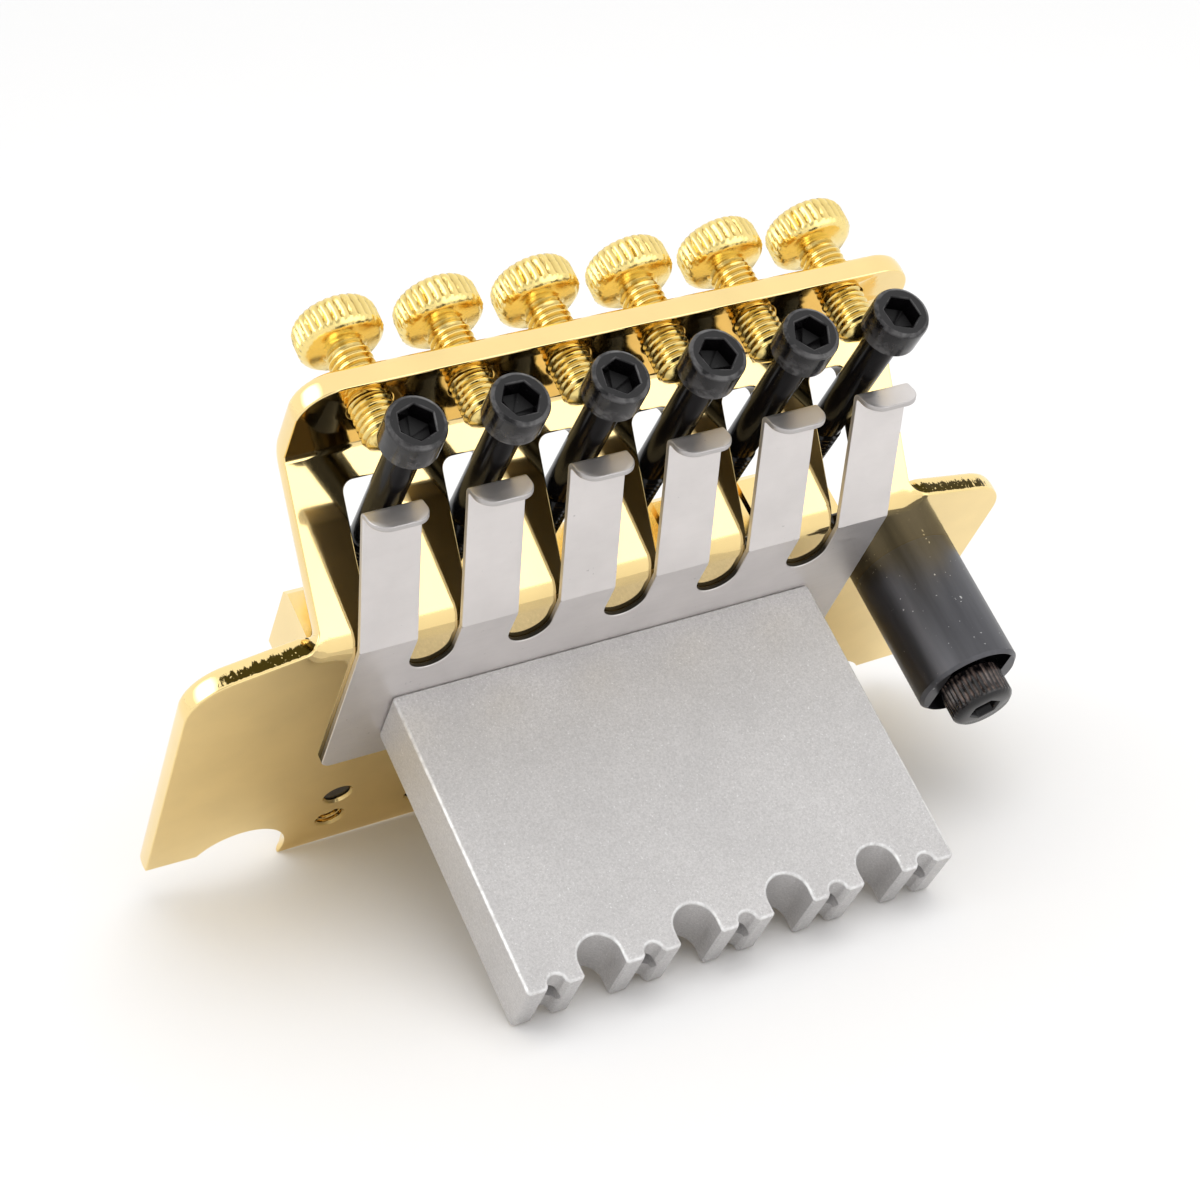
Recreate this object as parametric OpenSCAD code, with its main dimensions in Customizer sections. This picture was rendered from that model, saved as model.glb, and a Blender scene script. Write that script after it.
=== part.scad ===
// Double-locking tremolo bridge for a six-string guitar, bass side at -X and treble side at +X.
// The neck lies towards +Y, the tail towards -Y, and +Z points up, away from the guitar's body.
// The origin is the middle of the line through both knife edges, on the plate's underside.

/* [Strings] */
// Distance between neighbouring strings
string_pitch = 10.6; // [10.5:0.1:10.8]
// Travel of each saddle either way when the intonation is set
saddle_travel = 1.5; // [1:0.1:1.5]

/* [Base plate] */
// Width of the plate across both wings
plate_w = 95.2; // [94:0.2:98]
// Thickness of the stamped plate
plate_t = 2.6; // [2.4:0.1:2.7]
// Distance between the two knife edges
stud_spacing = 74; // [73.5:0.1:74.5]
// Radius of each knife-edge scallop
knife_r = 5.6; // [5.2:0.1:6]
// How far the plate reaches past the knife edges between the scallops
front_reach = 7.7; // [7.2:0.1:8.2]
// Angle between the plate and the tail's pillars
pillar_angle = 54; // [52:1:56]
// Width of the upturned tail
tail_w = 68.4; // [67.4:0.2:69]
// Width of the six slots that the lock screws pass through
slot_w = 4.6; // [4.4:0.1:4.8]

/* [Fine tuners] */
// Lean of the fine tuners and of the shelf towards the tail
tuner_lean = 2.5; // [1:0.5:4]
// Diameter of each knurled head
tuner_head_d = 8.2; // [7.8:0.1:8.6]
// Outer diameter of each tuner's thread
tuner_thread_d = 4.4; // [4:0.1:4.6]
// Number of teeth round each knurled head
tuner_teeth = 38; // [30:2:44]

/* [Lock screws] */
// Slope of the lock screws, rising towards the neck
lock_slope = 4.75; // [4.25:0.25:5]
// Diameter of each lock screw's head
lock_head_d = 6; // [5.6:0.1:6.2]
// Diameter of each lock screw's smooth shank
lock_shank_d = 3.6; // [3.4:0.1:3.7]
// Width across the flats of the hexagon socket
lock_hex = 3.3; // [3:0.1:3.4]

/* [Leaf spring] */
// Thickness of the spring sheet
leaf_t = 0.6; // [0.5:0.05:0.6]
// Width of each spring finger
finger_w = 6.2; // [5.8:0.1:6.4]
// Distance between neighbouring spring fingers
finger_pitch = 11; // [10.8:0.1:11]

/* [Sustain block] */
// Width of the sustain block
block_w = 49.6; // [47:0.2:50]
// Height of the sustain block below the leaf spring
block_h = 34.4; // [32:0.2:37]
// Thickness of the sustain block
block_t = 7.6; // [7.2:0.1:8]

/* [Arm socket] */
// Outer diameter of the arm's sleeve
sleeve_d = 11.8; // [11.4:0.1:12]
// Length of the sleeve below the plate
sleeve_l = 15.6; // [15:0.1:18]
// Diameter of the bore that takes the arm
arm_bore_d = 6.1; // [6:0.05:6.3]

/* [Hidden] */
$fn = 64;
run_gap = 0.05;
fit_gap = 0.03;
lap = 0.01;
skin = 0.002;
// Room between tuner and lock screw, and between lock screw and spring, over the saddle's travel
tip_gap = 0.3;
crest_gap = 0.25;

gold = [0.86, 0.68, 0.32];
black = [0.09, 0.09, 0.1];
steel = [0.78, 0.77, 0.77];
zinc = [0.72, 0.71, 0.71];

// Plate outline
half_w = plate_w / 2;
half_tail = tail_w / 2;
half_stud = stud_spacing / 2;
wing_front = 2.8;
wing_rear = -36.4;
wing_slope = 13;
wing_corner_r = 5.5;
wing_arc_x = half_w - wing_corner_r;
wing_arc_y = wing_rear + (wing_arc_x - half_tail) * tan(wing_slope) + wing_corner_r / cos(wing_slope);
wing_touch_x = wing_arc_x + wing_corner_r * sin(wing_slope);
wing_touch_y = wing_arc_y - wing_corner_r * cos(wing_slope);
bend_y = -35.3;
bend_r = 1.5;
crease_r = 1;

// Shelf and the line of each fine tuner, measured where it leaves the shelf's underside
tuner_y = -53.2;
tuner_z = 15.3;
shelf_reach = 4;
shelf_corner_r = 4.5;
knife_land = 0.5;
knife_bevel_w = 1.6;
crease_s = (tuner_z + (bend_y - tuner_y) * tan(tuner_lean))
    / (sin(pillar_angle) + cos(pillar_angle) * tan(tuner_lean));
crease_y = bend_y - crease_s * cos(pillar_angle);
crease_z = crease_s * sin(pillar_angle);
shelf_l = (crease_y - tuner_y) / cos(tuner_lean) + shelf_reach;
slot_top = crease_s - 3.3;
slot_start_s = 1.5;
slot_end = -32.6;
slot_corner_r = 1.2;

// Lock screw axis: it passes through this point and rises towards the neck
lock_face_y = -60.9;
lock_face_z = 7.7;
lock_head_l = 3.75;
lock_thread_d = 3.9;
lock_thread_from = 21.5;
lock_hex_depth = 2.3;
function lock_z(y) = lock_face_z + (y - lock_face_y) * tan(lock_slope);

// Fine tuner lengths, measured along its own axis from the shelf's underside
tuner_tip_y = tuner_y + 4.5 * sin(tuner_lean);
shank_top = lock_z(tuner_tip_y) + lock_shank_d / 2 / cos(lock_slope);
tuner_tip = -(tuner_z - shank_top - tip_gap) / cos(tuner_lean);
tuner_head_from = 6.6;
tuner_head_h = 3.9;
tuner_nose_l = 0.9;
tuner_nose_r = 0.8;
thread_pitch = 0.7;

// Saddle
saddle_w = string_pitch - 0.6;
saddle_rear = -26.3;
saddle_body_front = -15.9;
saddle_top = 13.2;
saddle_floor = 4.4;
// The holder's underside is cut back this far, so that its tail can sink
turn_relief = 0.5;
pin_y = -12;
pin_z = 7.2;
pin_d = 2.5;
nose_r = 2.3;
crest_r = 2.2;
crest_drop = 1.6;
crest_back = 0.9;
rear_chamfer = 0.8;
nose_w = 6.6;
ear_t = 1.5;
foot_rear = -15;
foot_front = 1.6;
foot_t = 2;
foot_corner_r = 2;
foot_z = plate_t + run_gap;
screw_y = -2.7;
spare_hole_y = 2.5;
screw_d = 3;
screw_side_gap = 0.25;
screw_head_d = 5.2;
screw_head_h = 2.4;
screw_hex = 2.5;
screw_from = 0.4;
cavity_rear = -22.3;
cavity_front = -16.8;
cavity_w = 5.4;
cavity_floor = 6;
clamp_l = 3.4;
clamp_front = cavity_front - 0.4;
clamp_back = clamp_front - clamp_l;
clamp_gap = 0.2;
clamp_h = 6.4;
clamp_floor_gap = 0.3;
string_hole_r = 1.35;
string_hole_slope = 3;
lock_length = (clamp_back - clamp_gap - lock_face_y) / cos(lock_slope);

// Leaf spring
finger_offset = 0.1;
finger_bend_gap = 0.5;
finger_root_y = bend_y + finger_bend_gap;
finger_root_z = -leaf_t / 2;
leaf_front = -11.8;
leaf_slot_end = -28.5;
finger_crest_y = -49.2;
crest_top = lock_z(finger_crest_y) - lock_shank_d / 2 / cos(lock_slope) - crest_gap;
root_gap = 0.25;
root_cut = 0.05;
finger_tip_r = 0.75;
finger_rise = atan((crest_top - finger_tip_r - finger_root_z) / (finger_root_y - finger_crest_y));
finger_l = (finger_root_y - finger_crest_y) / cos(finger_rise);
lip_l = 2.7;
lip_angle = 70;
lip_corner_r = 1.9;

// Sustain block
block_tail_y = -23.8;
block_top = -leaf_t;
block_mid_y = block_tail_y + block_t / 2;
notch_pitch = 10.8;
notch_w = 4.6;
notch_depth = 3.9;
hook_pitch = 10.75;
hook_d = 2.4;
hook_depth = 8;
groove_d = 0.8 * hook_d;
block_corner_r = 0.6;
block_screw_pitch = 16;
block_screw_d = 5;
block_screw_l = 11;
block_screw_hex = 3;
sink_depth = 2.2;
sink_gap = 0.2;

// Arm socket
arm_x = 39.2;
arm_y = -20.4;
neck_d = 8.3;
nut_d = 11;
nut_h = 2.5;
neck_top = plate_t + 3.6;
web_t = 2;
pocket_depth = 3.6;
pocket_w = 7.8;
pocket_wall = 0.45;
tension_d = 4;
tension_head_d = 7.2;
tension_head_h = 4;
tension_stick_out = 3.6;
tension_teeth = 36;
tension_hex = 3;
tension_hex_depth = 2;
tension_end_gap = 0.3;
sleeve_bevel = 0.4;
nut_notch_w = 1.8;
nut_notch_depth = 1.2;
nut_notch_reach = 0.7;

function string_x(i) = (i - 3.5) * string_pitch;
function finger_x(i) = finger_offset + (i - 3.5) * finger_pitch;

// Side profiles are drawn with Y to the right and Z upwards, then stood up and made this wide in X
module side_extrude(width) {
    rotate([90, 0, 90])
        linear_extrude(width, center = true)
            children();
}

// Quarter or smaller piece of a flat ring, from angle a0 to angle a1
module ring_sector(inner_r, outer_r, a0, a1) {
    reach = 3 * outer_r;
    intersection() {
        difference() {
            circle(outer_r);
            circle(inner_r);
        }
        polygon([[0, 0],
            [reach * cos(a0), reach * sin(a0)],
            [reach * cos((a0 + a1) / 2), reach * sin((a0 + a1) / 2)],
            [reach * cos(a1), reach * sin(a1)]]);
    }
}

// Rod turned with round-bottomed rings that stand for its thread, from z = 0 upwards
module ringed_rod(outer_d, length, pitch) {
    crest = outer_d / 2;
    root = crest - 0.45 * pitch;
    turns = floor((length - 0.8) / pitch);
    start = 0.4;
    rotate_extrude()
        polygon(concat(
            [[0, 0], [root, 0], [root + 0.1, start]],
            [for (k = [0 : turns - 1], p = [0 : 2])
                p == 0 ? [crest, start + (k + 0.3) * pitch]
                : p == 1 ? [crest, start + (k + 0.45) * pitch]
                : [root, start + (k + 0.9) * pitch]],
            [[root, length], [0, length]]));
}

// Axis frames
module along_lock(i) {
    translate([string_x(i), lock_face_y, lock_face_z])
        rotate([lock_slope - 90, 0, 0])
            children();
}

module along_tuner(i) {
    translate([string_x(i), tuner_y, tuner_z])
        rotate([tuner_lean, 0, 0])
            children();
}

// Plate
module plate_outline() {
    difference() {
        union() {
            polygon([[-half_w, wing_front], [-half_w, wing_arc_y],
                [-wing_touch_x, wing_touch_y], [-half_tail, wing_rear],
                [-half_tail, bend_y + 3], [half_tail, bend_y + 3], [half_tail, wing_rear],
                [wing_touch_x, wing_touch_y], [half_w, wing_arc_y], [half_w, wing_front]]);
            for (side = [-1, 1])
                translate([side * wing_arc_x, wing_arc_y])
                    circle(wing_corner_r);
            translate([-half_stud + knife_r - 2, wing_front - 1])
                square([stud_spacing - 2 * knife_r + 4, front_reach - wing_front + 1]);
        }
        for (side = [-1, 1])
            translate([side * half_stud, knife_r])
                circle(knife_r);
    }
}

// The knife edges are bevelled from above, so the sharp line lies on the underside
module knife_bevel() {
    for (side = [-1, 1])
        translate([side * half_stud, knife_r, knife_land])
            cylinder(h = plate_t, r1 = knife_r, r2 = knife_r + knife_bevel_w);
}

// The straight parts are a hair thicker than the bends, so that no faces coincide where they meet
module tail_profile() {
    outer_r = bend_r + plate_t;
    bend_run = outer_r * tan(pillar_angle / 2);
    bend_in = bend_y + bend_run;
    fold = pillar_angle + tuner_lean;
    fold_run = crease_r * tan(fold / 2);
    translate([bend_in - lap, 0])
        square([4, plate_t]);
    translate([bend_in, outer_r])
        ring_sector(bend_r, outer_r, -90 - pillar_angle, -90);
    translate([bend_y, 0])
        rotate(180 - pillar_angle)
            translate([bend_run - lap, -plate_t - skin])
                square([crease_s - bend_run - fold_run + 2 * lap, plate_t + 2 * skin]);
    translate([crease_y, crease_z])
        rotate(180 - pillar_angle)
            translate([-fold_run, crease_r])
                ring_sector(crease_r, crease_r + plate_t, -90, -90 + fold);
    translate([crease_y, crease_z])
        rotate(180 + tuner_lean)
            translate([fold_run - lap, -plate_t - skin])
                square([shelf_l - fold_run + lap, plate_t + 2 * skin]);
}

module tail_slot(i) {
    length = slot_top - slot_start_s;
    corner = slot_corner_r;
    end_y = slot_end - slot_w / 2;
    // Upper part, square to the pillars
    translate([string_x(i), bend_y, 0])
        rotate([-pillar_angle, 0, 0])
            translate([0, -slot_top, -1.5])
                linear_extrude(plate_t + 3) {
                    translate([-slot_w / 2, corner])
                        square([slot_w, length - corner]);
                    translate([-slot_w / 2 + corner, 0])
                        square([slot_w - 2 * corner, length]);
                    for (side = [-1, 1])
                        translate([side * (slot_w / 2 - corner), corner])
                            circle(corner);
                }
    // Lower part, straight down through the bend and the plate
    translate([string_x(i), end_y, -1])
        linear_extrude(plate_t + 3.4) {
            circle(slot_w / 2);
            translate([-slot_w / 2, bend_y - end_y - 2])
                square([slot_w, end_y - bend_y + 2]);
        }
}

// What is cut away to round the two free corners of the shelf
module shelf_corners() {
    reach = shelf_corner_r + 2;
    for (side = [-1, 1])
        translate([0, crease_y, crease_z])
            rotate([tuner_lean, 0, 0])
                translate([side * (half_tail - shelf_corner_r), shelf_corner_r - shelf_l, -3])
                    difference() {
                        translate([side > 0 ? 0 : -reach, -reach, 0])
                            cube([reach, reach, plate_t + 6]);
                        translate([0, 0, -1])
                            cylinder(h = plate_t + 8, r = shelf_corner_r);
                    }
}

module base_plate() {
    color(gold)
        difference() {
            union() {
                linear_extrude(plate_t)
                    plate_outline();
                side_extrude(tail_w)
                    tail_profile();
            }
            knife_bevel();
            shelf_corners();
            for (i = [1 : 6]) {
                tail_slot(i);
                along_tuner(i)
                    translate([0, 0, -3])
                        cylinder(h = plate_t + 6, d = tuner_thread_d + 2 * run_gap);
                for (y = [screw_y, spare_hole_y])
                    translate([string_x(i), y, -1])
                        cylinder(h = plate_t + 2, d = screw_d);
            }
            for (k = [-1 : 1])
                translate([k * block_screw_pitch, block_mid_y, 0]) {
                    translate([0, 0, -1])
                        cylinder(h = plate_t + 2, d = block_screw_d + 2 * sink_gap);
                    translate([0, 0, plate_t - sink_depth])
                        cylinder(h = sink_depth + lap, r1 = block_screw_d / 2 + sink_gap,
                            r2 = block_screw_d / 2 + sink_gap + sink_depth + lap);
                }
            translate([arm_x, arm_y, -1])
                cylinder(h = plate_t + 2, d = neck_d + 2 * fit_gap);
        }
}

// Sustain block
module sustain_block() {
    corner = block_corner_r;
    foot = block_top - block_h;
    color(zinc)
        difference() {
            translate([0, block_mid_y, foot])
                linear_extrude(block_h) {
                    square([block_w, block_t - 2 * corner], center = true);
                    square([block_w - 2 * corner, block_t], center = true);
                    for (sx = [-1, 1], sy = [-1, 1])
                        translate([sx * (block_w / 2 - corner), sy * (block_t / 2 - corner)])
                            circle(corner);
                }
            for (k = [-1.5 : 1 : 1.5])
                translate([k * notch_pitch, block_mid_y, foot + notch_depth - notch_w / 2]) {
                    rotate([90, 0, 0])
                        cylinder(h = block_t + 2, d = notch_w, center = true);
                    translate([-notch_w / 2, -block_t / 2 - 1, -notch_depth])
                        cube([notch_w, block_t + 2, notch_depth]);
                }
            for (k = [-2 : 2])
                translate([k * hook_pitch, block_mid_y, foot]) {
                    translate([0, 0, -1])
                        cylinder(h = hook_depth + 1, d = hook_d);
                    rotate([90, 0, 0])
                        cylinder(h = block_t + 2, d = groove_d, center = true);
                }
            for (k = [-1 : 1])
                translate([k * block_screw_pitch, block_mid_y, block_top - block_screw_l - 1])
                    cylinder(h = block_screw_l + 2, d = block_screw_d + 2 * fit_gap);
        }
}

module block_screws() {
    cone_top = plate_t - 0.1;
    cone_h = sink_depth - 0.1;
    color(black)
        for (k = [-1 : 1])
            translate([k * block_screw_pitch, block_mid_y, 0])
                difference() {
                    union() {
                        translate([0, 0, block_top - block_screw_l])
                            cylinder(h = block_screw_l + leaf_t + cone_top, d = block_screw_d);
                        translate([0, 0, cone_top - cone_h])
                            cylinder(h = cone_h, r1 = block_screw_d / 2, r2 = block_screw_d / 2 + cone_h);
                    }
                    translate([0, 0, cone_top - 1.5])
                        cylinder(h = 3, d = block_screw_hex / cos(30), $fn = 6);
                }
}

// Leaf spring: a comb clamped between the plate and the block, and six fingers
module spring_comb() {
    left = finger_x(1) - finger_w / 2;
    right = finger_x(6) + finger_w / 2;
    gap = finger_pitch - finger_w;
    color(steel)
        translate([0, 0, -leaf_t])
            linear_extrude(leaf_t)
                difference() {
                    translate([left, finger_root_y + root_gap])
                        square([right - left, leaf_front - finger_root_y - root_gap]);
                    for (i = [1 : 5])
                        translate([finger_x(i) + finger_pitch / 2, leaf_slot_end - gap / 2]) {
                            circle(d = gap);
                            translate([-gap / 2, -12])
                                square([gap, 12]);
                        }
                    for (k = [-1 : 1])
                        translate([k * block_screw_pitch, block_mid_y])
                            circle(d = block_screw_d + 0.6);
                }
}

// In the frame of side_extrude, at a finger's root and along its sheet
module along_finger(i) {
    translate([finger_x(i), finger_root_y, finger_root_z])
        rotate([90, 0, 90])
            rotate([0, 0, 180 - finger_rise])
                children();
}

module lip_outline() {
    translate([-lap, -finger_w / 2])
        square([lip_l - lip_corner_r + lap, finger_w]);
    translate([0, -finger_w / 2 + lip_corner_r])
        square([lip_l, finger_w - 2 * lip_corner_r]);
    for (side = [-1, 1])
        translate([lip_l - lip_corner_r, side * (finger_w / 2 - lip_corner_r)])
            circle(lip_corner_r);
}

module spring_finger(i) {
    color(steel)
        along_finger(i) {
            linear_extrude(finger_w, center = true) {
                translate([root_cut, -leaf_t / 2])
                    square([finger_l - root_cut + lap, leaf_t]);
                translate([finger_l, finger_tip_r - leaf_t / 2])
                    ring_sector(finger_tip_r - leaf_t, finger_tip_r, -90, -90 + finger_rise + lip_angle);
            }
            translate([finger_l, finger_tip_r - leaf_t / 2, 0])
                rotate([0, 0, finger_rise + lip_angle])
                    translate([0, leaf_t - finger_tip_r, 0])
                        rotate([90, 0, 0])
                            linear_extrude(leaf_t)
                                lip_outline();
        }
}

// Fine tuner: knurled head over a thread that pushes the lock screw down
module knurled_head(diameter, height, teeth) {
    depth = 0.32;
    difference() {
        rotate_extrude()
            polygon([[0, 0], [diameter / 2 - 1.1, 0], [diameter / 2, 0.8],
                [diameter / 2, height - 0.7], [diameter / 2 - 0.25, height - 0.25],
                [diameter / 2 - 0.8, height], [0, height]]);
        for (k = [0 : teeth - 1])
            rotate([0, 0, k * 360 / teeth])
                translate([diameter / 2 + 0.05, 0, 0.5])
                    cylinder(h = height, r = depth, $fn = 4);
    }
}

module fine_tuner(i) {
    rod_from = tuner_tip + tuner_nose_l;
    color(gold)
        along_tuner(i) {
            translate([0, 0, rod_from])
                ringed_rod(tuner_thread_d, tuner_head_from - rod_from + lap, thread_pitch);
            translate([0, 0, tuner_tip])
                cylinder(h = tuner_nose_l + lap, r1 = tuner_nose_r, r2 = tuner_thread_d / 2 - 0.5);
            translate([0, 0, tuner_head_from])
                knurled_head(tuner_head_d, tuner_head_h, tuner_teeth);
        }
}

// Lock screw: socket head, smooth shank and a threaded end inside the string holder
module lock_screw(i) {
    bevel = 0.45;
    radius = lock_head_d / 2;
    color(black)
        along_lock(i)
            difference() {
                union() {
                    rotate_extrude()
                        polygon([[0, 0], [radius - bevel, 0], [radius, bevel],
                            [radius, lock_head_l - 0.3], [radius - 0.3, lock_head_l], [0, lock_head_l]]);
                    translate([0, 0, lock_head_l - lap])
                        cylinder(h = lock_thread_from - lock_head_l + 2 * lap, d = lock_shank_d);
                    translate([0, 0, lock_thread_from])
                        ringed_rod(lock_thread_d, lock_length - lock_thread_from, thread_pitch);
                }
                translate([0, 0, -lap])
                    rotate([0, 0, 17 * i])
                        cylinder(h = lock_hex_depth, d = lock_hex / cos(30), $fn = 6);
            }
}

// Saddle base: foot with its intonation slot, and two ears round the holder's nose
module saddle_base(i) {
    slot_r = screw_d / 2 + screw_side_gap;
    color(gold)
        translate([string_x(i), 0, foot_z])
            difference() {
                union() {
                    translate([-saddle_w / 2, foot_rear, 0])
                        cube([saddle_w, foot_front - foot_rear - foot_corner_r, foot_t]);
                    translate([-saddle_w / 2 + foot_corner_r, foot_rear, 0])
                        cube([saddle_w - 2 * foot_corner_r, foot_front - foot_rear, foot_t]);
                    for (side = [-1, 1]) {
                        translate([side * (saddle_w / 2 - foot_corner_r), foot_front - foot_corner_r, 0])
                            cylinder(h = foot_t, r = foot_corner_r);
                        translate([side * (saddle_w / 2 - ear_t / 2), 0, 0]) {
                            translate([-ear_t / 2, foot_rear, 0])
                                cube([ear_t, 2 * (pin_y - foot_rear), pin_z - foot_z]);
                            translate([-ear_t / 2, pin_y, pin_z - foot_z])
                                rotate([0, 90, 0])
                                    cylinder(h = ear_t, r = pin_y - foot_rear);
                        }
                    }
                }
                for (end = [-1, 1])
                    translate([0, screw_y + end * saddle_travel, -1])
                        cylinder(h = foot_t + 2, r = slot_r);
                translate([-slot_r, screw_y - saddle_travel, -1])
                    cube([2 * slot_r, 2 * saddle_travel, foot_t + 2]);
                translate([-saddle_w, pin_y, pin_z - foot_z])
                    rotate([0, 90, 0])
                        cylinder(h = 2 * saddle_w, d = pin_d + 2 * fit_gap);
            }
}

module saddle_pin(i) {
    color(steel)
        translate([string_x(i) - saddle_w / 2 + 0.1, pin_y, pin_z])
            rotate([0, 90, 0])
                cylinder(h = saddle_w - 0.2, d = pin_d);
}

// String holder: the nose turns on the pin, the string lies over the crest,
// and the clamp block sits in the cavity behind it
module holder_profile() {
    polygon([[saddle_rear, saddle_floor], [saddle_rear, saddle_top - rear_chamfer],
        [saddle_rear + rear_chamfer, saddle_top], [pin_y - crest_back, saddle_top],
        [pin_y + crest_back, saddle_top - crest_drop], [pin_y + nose_r - 0.4, pin_z],
        [pin_y, pin_z - 1], [saddle_body_front - turn_relief, saddle_floor]]);
}

module holder_bar(y, z, width, diameter) {
    translate([-width / 2, y, z])
        rotate([0, 90, 0])
            cylinder(h = width, d = diameter);
}

module string_holder(i) {
    bore_from = (saddle_rear - 2 - lock_face_y) / cos(lock_slope);
    color(gold)
        translate([string_x(i), 0, 0])
            difference() {
                union() {
                    side_extrude(saddle_w)
                        holder_profile();
                    holder_bar(pin_y, pin_z, nose_w, 2 * nose_r);
                    holder_bar(pin_y - crest_back, saddle_top - crest_drop, nose_w, 2 * crest_r);
                }
                for (side = [-1, 1])
                    translate([side > 0 ? nose_w / 2 : -saddle_w, saddle_body_front, 0])
                        cube([saddle_w - nose_w / 2, 20, 30]);
                holder_bar(pin_y, pin_z, 2 * saddle_w, pin_d + 2 * run_gap);
                translate([-cavity_w / 2, cavity_rear, cavity_floor])
                    cube([cavity_w, cavity_front - cavity_rear, 20]);
                translate([0, lock_face_y, lock_face_z])
                    rotate([lock_slope - 90, 0, 0])
                        translate([0, 0, bore_from])
                            cylinder(h = cavity_rear - saddle_rear + 3, d = lock_thread_d + 2 * run_gap);
                translate([0, cavity_front - 0.5, saddle_top + 1.5])
                    rotate([-90 - string_hole_slope, 0, 0])
                        cylinder(h = 14, r = string_hole_r);
            }
}

module clamp_block(i) {
    color(steel)
        translate([string_x(i) - cavity_w / 2 + clamp_gap, clamp_back, cavity_floor + clamp_floor_gap])
            cube([cavity_w - 2 * clamp_gap, clamp_l, clamp_h]);
}

module saddle_screws() {
    head_from = foot_z + foot_t + run_gap;
    color(black)
        for (i = [1 : 6])
            translate([string_x(i), screw_y, 0])
                difference() {
                    union() {
                        translate([0, 0, screw_from])
                            cylinder(h = head_from - screw_from + lap, d = screw_d - 2 * fit_gap);
                        translate([0, 0, head_from])
                            cylinder(h = screw_head_h, d = screw_head_d);
                    }
                    translate([0, 0, head_from + 1])
                        cylinder(h = screw_head_h, d = screw_hex / cos(30), $fn = 6);
                }
}

// Arm socket: sleeve through the plate, ring nut above it and a tension screw at its lower end
module arm_sleeve() {
    floor_z = -sleeve_l + pocket_depth;
    color(black)
        translate([arm_x, arm_y, 0])
            difference() {
                union() {
                    translate([0, 0, -sleeve_l])
                        rotate_extrude()
                            polygon([[0, 0], [sleeve_d / 2 - sleeve_bevel, 0], [sleeve_d / 2, sleeve_bevel],
                                [sleeve_d / 2, sleeve_l], [0, sleeve_l]]);
                    cylinder(h = neck_top, d = neck_d);
                }
                translate([0, 0, floor_z + web_t])
                    cylinder(h = sleeve_l + neck_top, d = arm_bore_d);
                intersection() {
                    translate([0, 0, -sleeve_l - 1])
                        cylinder(h = pocket_depth + 1, d = sleeve_d - 2 * pocket_wall);
                    translate([-pocket_w / 2, -sleeve_d, -sleeve_l - 2])
                        cube([pocket_w, 2 * sleeve_d, pocket_depth + 4]);
                }
                translate([0, 0, floor_z - 1])
                    cylinder(h = web_t + 2, d = tension_d + 2 * run_gap);
            }
}

module arm_nut() {
    color(black)
        translate([arm_x, arm_y, plate_t])
            difference() {
                cylinder(h = nut_h, d = nut_d);
                translate([0, 0, -1])
                    cylinder(h = nut_h + 2, d = neck_d + 2 * fit_gap);
                for (k = [0 : 3])
                    rotate([0, 0, 45 + k * 90])
                        translate([nut_d / 2 - nut_notch_reach, -nut_notch_w / 2, nut_h - nut_notch_depth])
                            cube([nut_notch_reach + 1, nut_notch_w, nut_notch_depth + 1]);
            }
}

module arm_tension_screw() {
    head_top = -sleeve_l - tension_stick_out + tension_head_h;
    socket_top = pocket_depth + web_t - sleeve_l;
    color(black)
        translate([arm_x, arm_y, 0])
            difference() {
                union() {
                    translate([0, 0, head_top])
                        rotate([180, 0, 0])
                            knurled_head(tension_head_d, tension_head_h, tension_teeth);
                    translate([0, 0, head_top - lap])
                        cylinder(h = socket_top - head_top - tension_end_gap, d = tension_d);
                }
                translate([0, 0, head_top - tension_head_h - 1])
                    rotate([0, 0, 10])
                        cylinder(h = tension_hex_depth + 1, d = tension_hex / cos(30), $fn = 6);
            }
}

base_plate();
sustain_block();
block_screws();
spring_comb();
saddle_screws();
arm_sleeve();
arm_nut();
arm_tension_screw();
for (i = [1 : 6]) {
    spring_finger(i);
    fine_tuner(i);
    lock_screw(i);
    saddle_base(i);
    saddle_pin(i);
    string_holder(i);
    clamp_block(i);
}
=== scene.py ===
"""Looks of the guitar tremolo bridge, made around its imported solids."""
from math import atan, atan2, ceil, cos, hypot, pi, radians, sin, tan

import bmesh
import bpy
import numpy as np
from bpy.props import FloatProperty, FloatVectorProperty, IntProperty, PointerProperty
from mathutils import Matrix, Vector


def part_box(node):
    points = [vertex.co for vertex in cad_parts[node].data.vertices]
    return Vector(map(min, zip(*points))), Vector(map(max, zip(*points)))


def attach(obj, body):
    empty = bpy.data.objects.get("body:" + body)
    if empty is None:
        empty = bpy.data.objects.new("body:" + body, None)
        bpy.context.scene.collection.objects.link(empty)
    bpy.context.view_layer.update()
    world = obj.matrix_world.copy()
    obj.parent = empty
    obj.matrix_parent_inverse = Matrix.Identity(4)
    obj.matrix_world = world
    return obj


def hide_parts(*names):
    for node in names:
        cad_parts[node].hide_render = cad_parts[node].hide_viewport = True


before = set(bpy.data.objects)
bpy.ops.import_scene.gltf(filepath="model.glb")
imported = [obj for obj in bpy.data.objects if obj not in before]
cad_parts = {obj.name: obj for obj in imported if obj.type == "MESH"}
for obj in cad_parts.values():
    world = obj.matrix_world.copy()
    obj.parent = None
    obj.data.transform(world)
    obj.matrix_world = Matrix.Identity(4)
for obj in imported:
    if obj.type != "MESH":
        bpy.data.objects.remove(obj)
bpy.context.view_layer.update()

bl_info = {
    "name": "Guitar tremolo bridge",
    "version": (1, 0, 0),
    "blender": (4, 5, 0),
    "location": "View3D > Sidebar > Bridge",
    "description": "Dresses the solids of a guitar tremolo bridge in its real shapes and finishes",
    "category": "Object",
}

MM = 0.001
STRINGS = range(1, 7)
# Where the middle lies between strings 1 to 6
MIDDLE = 3.5
PITCH = 10.6

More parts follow.
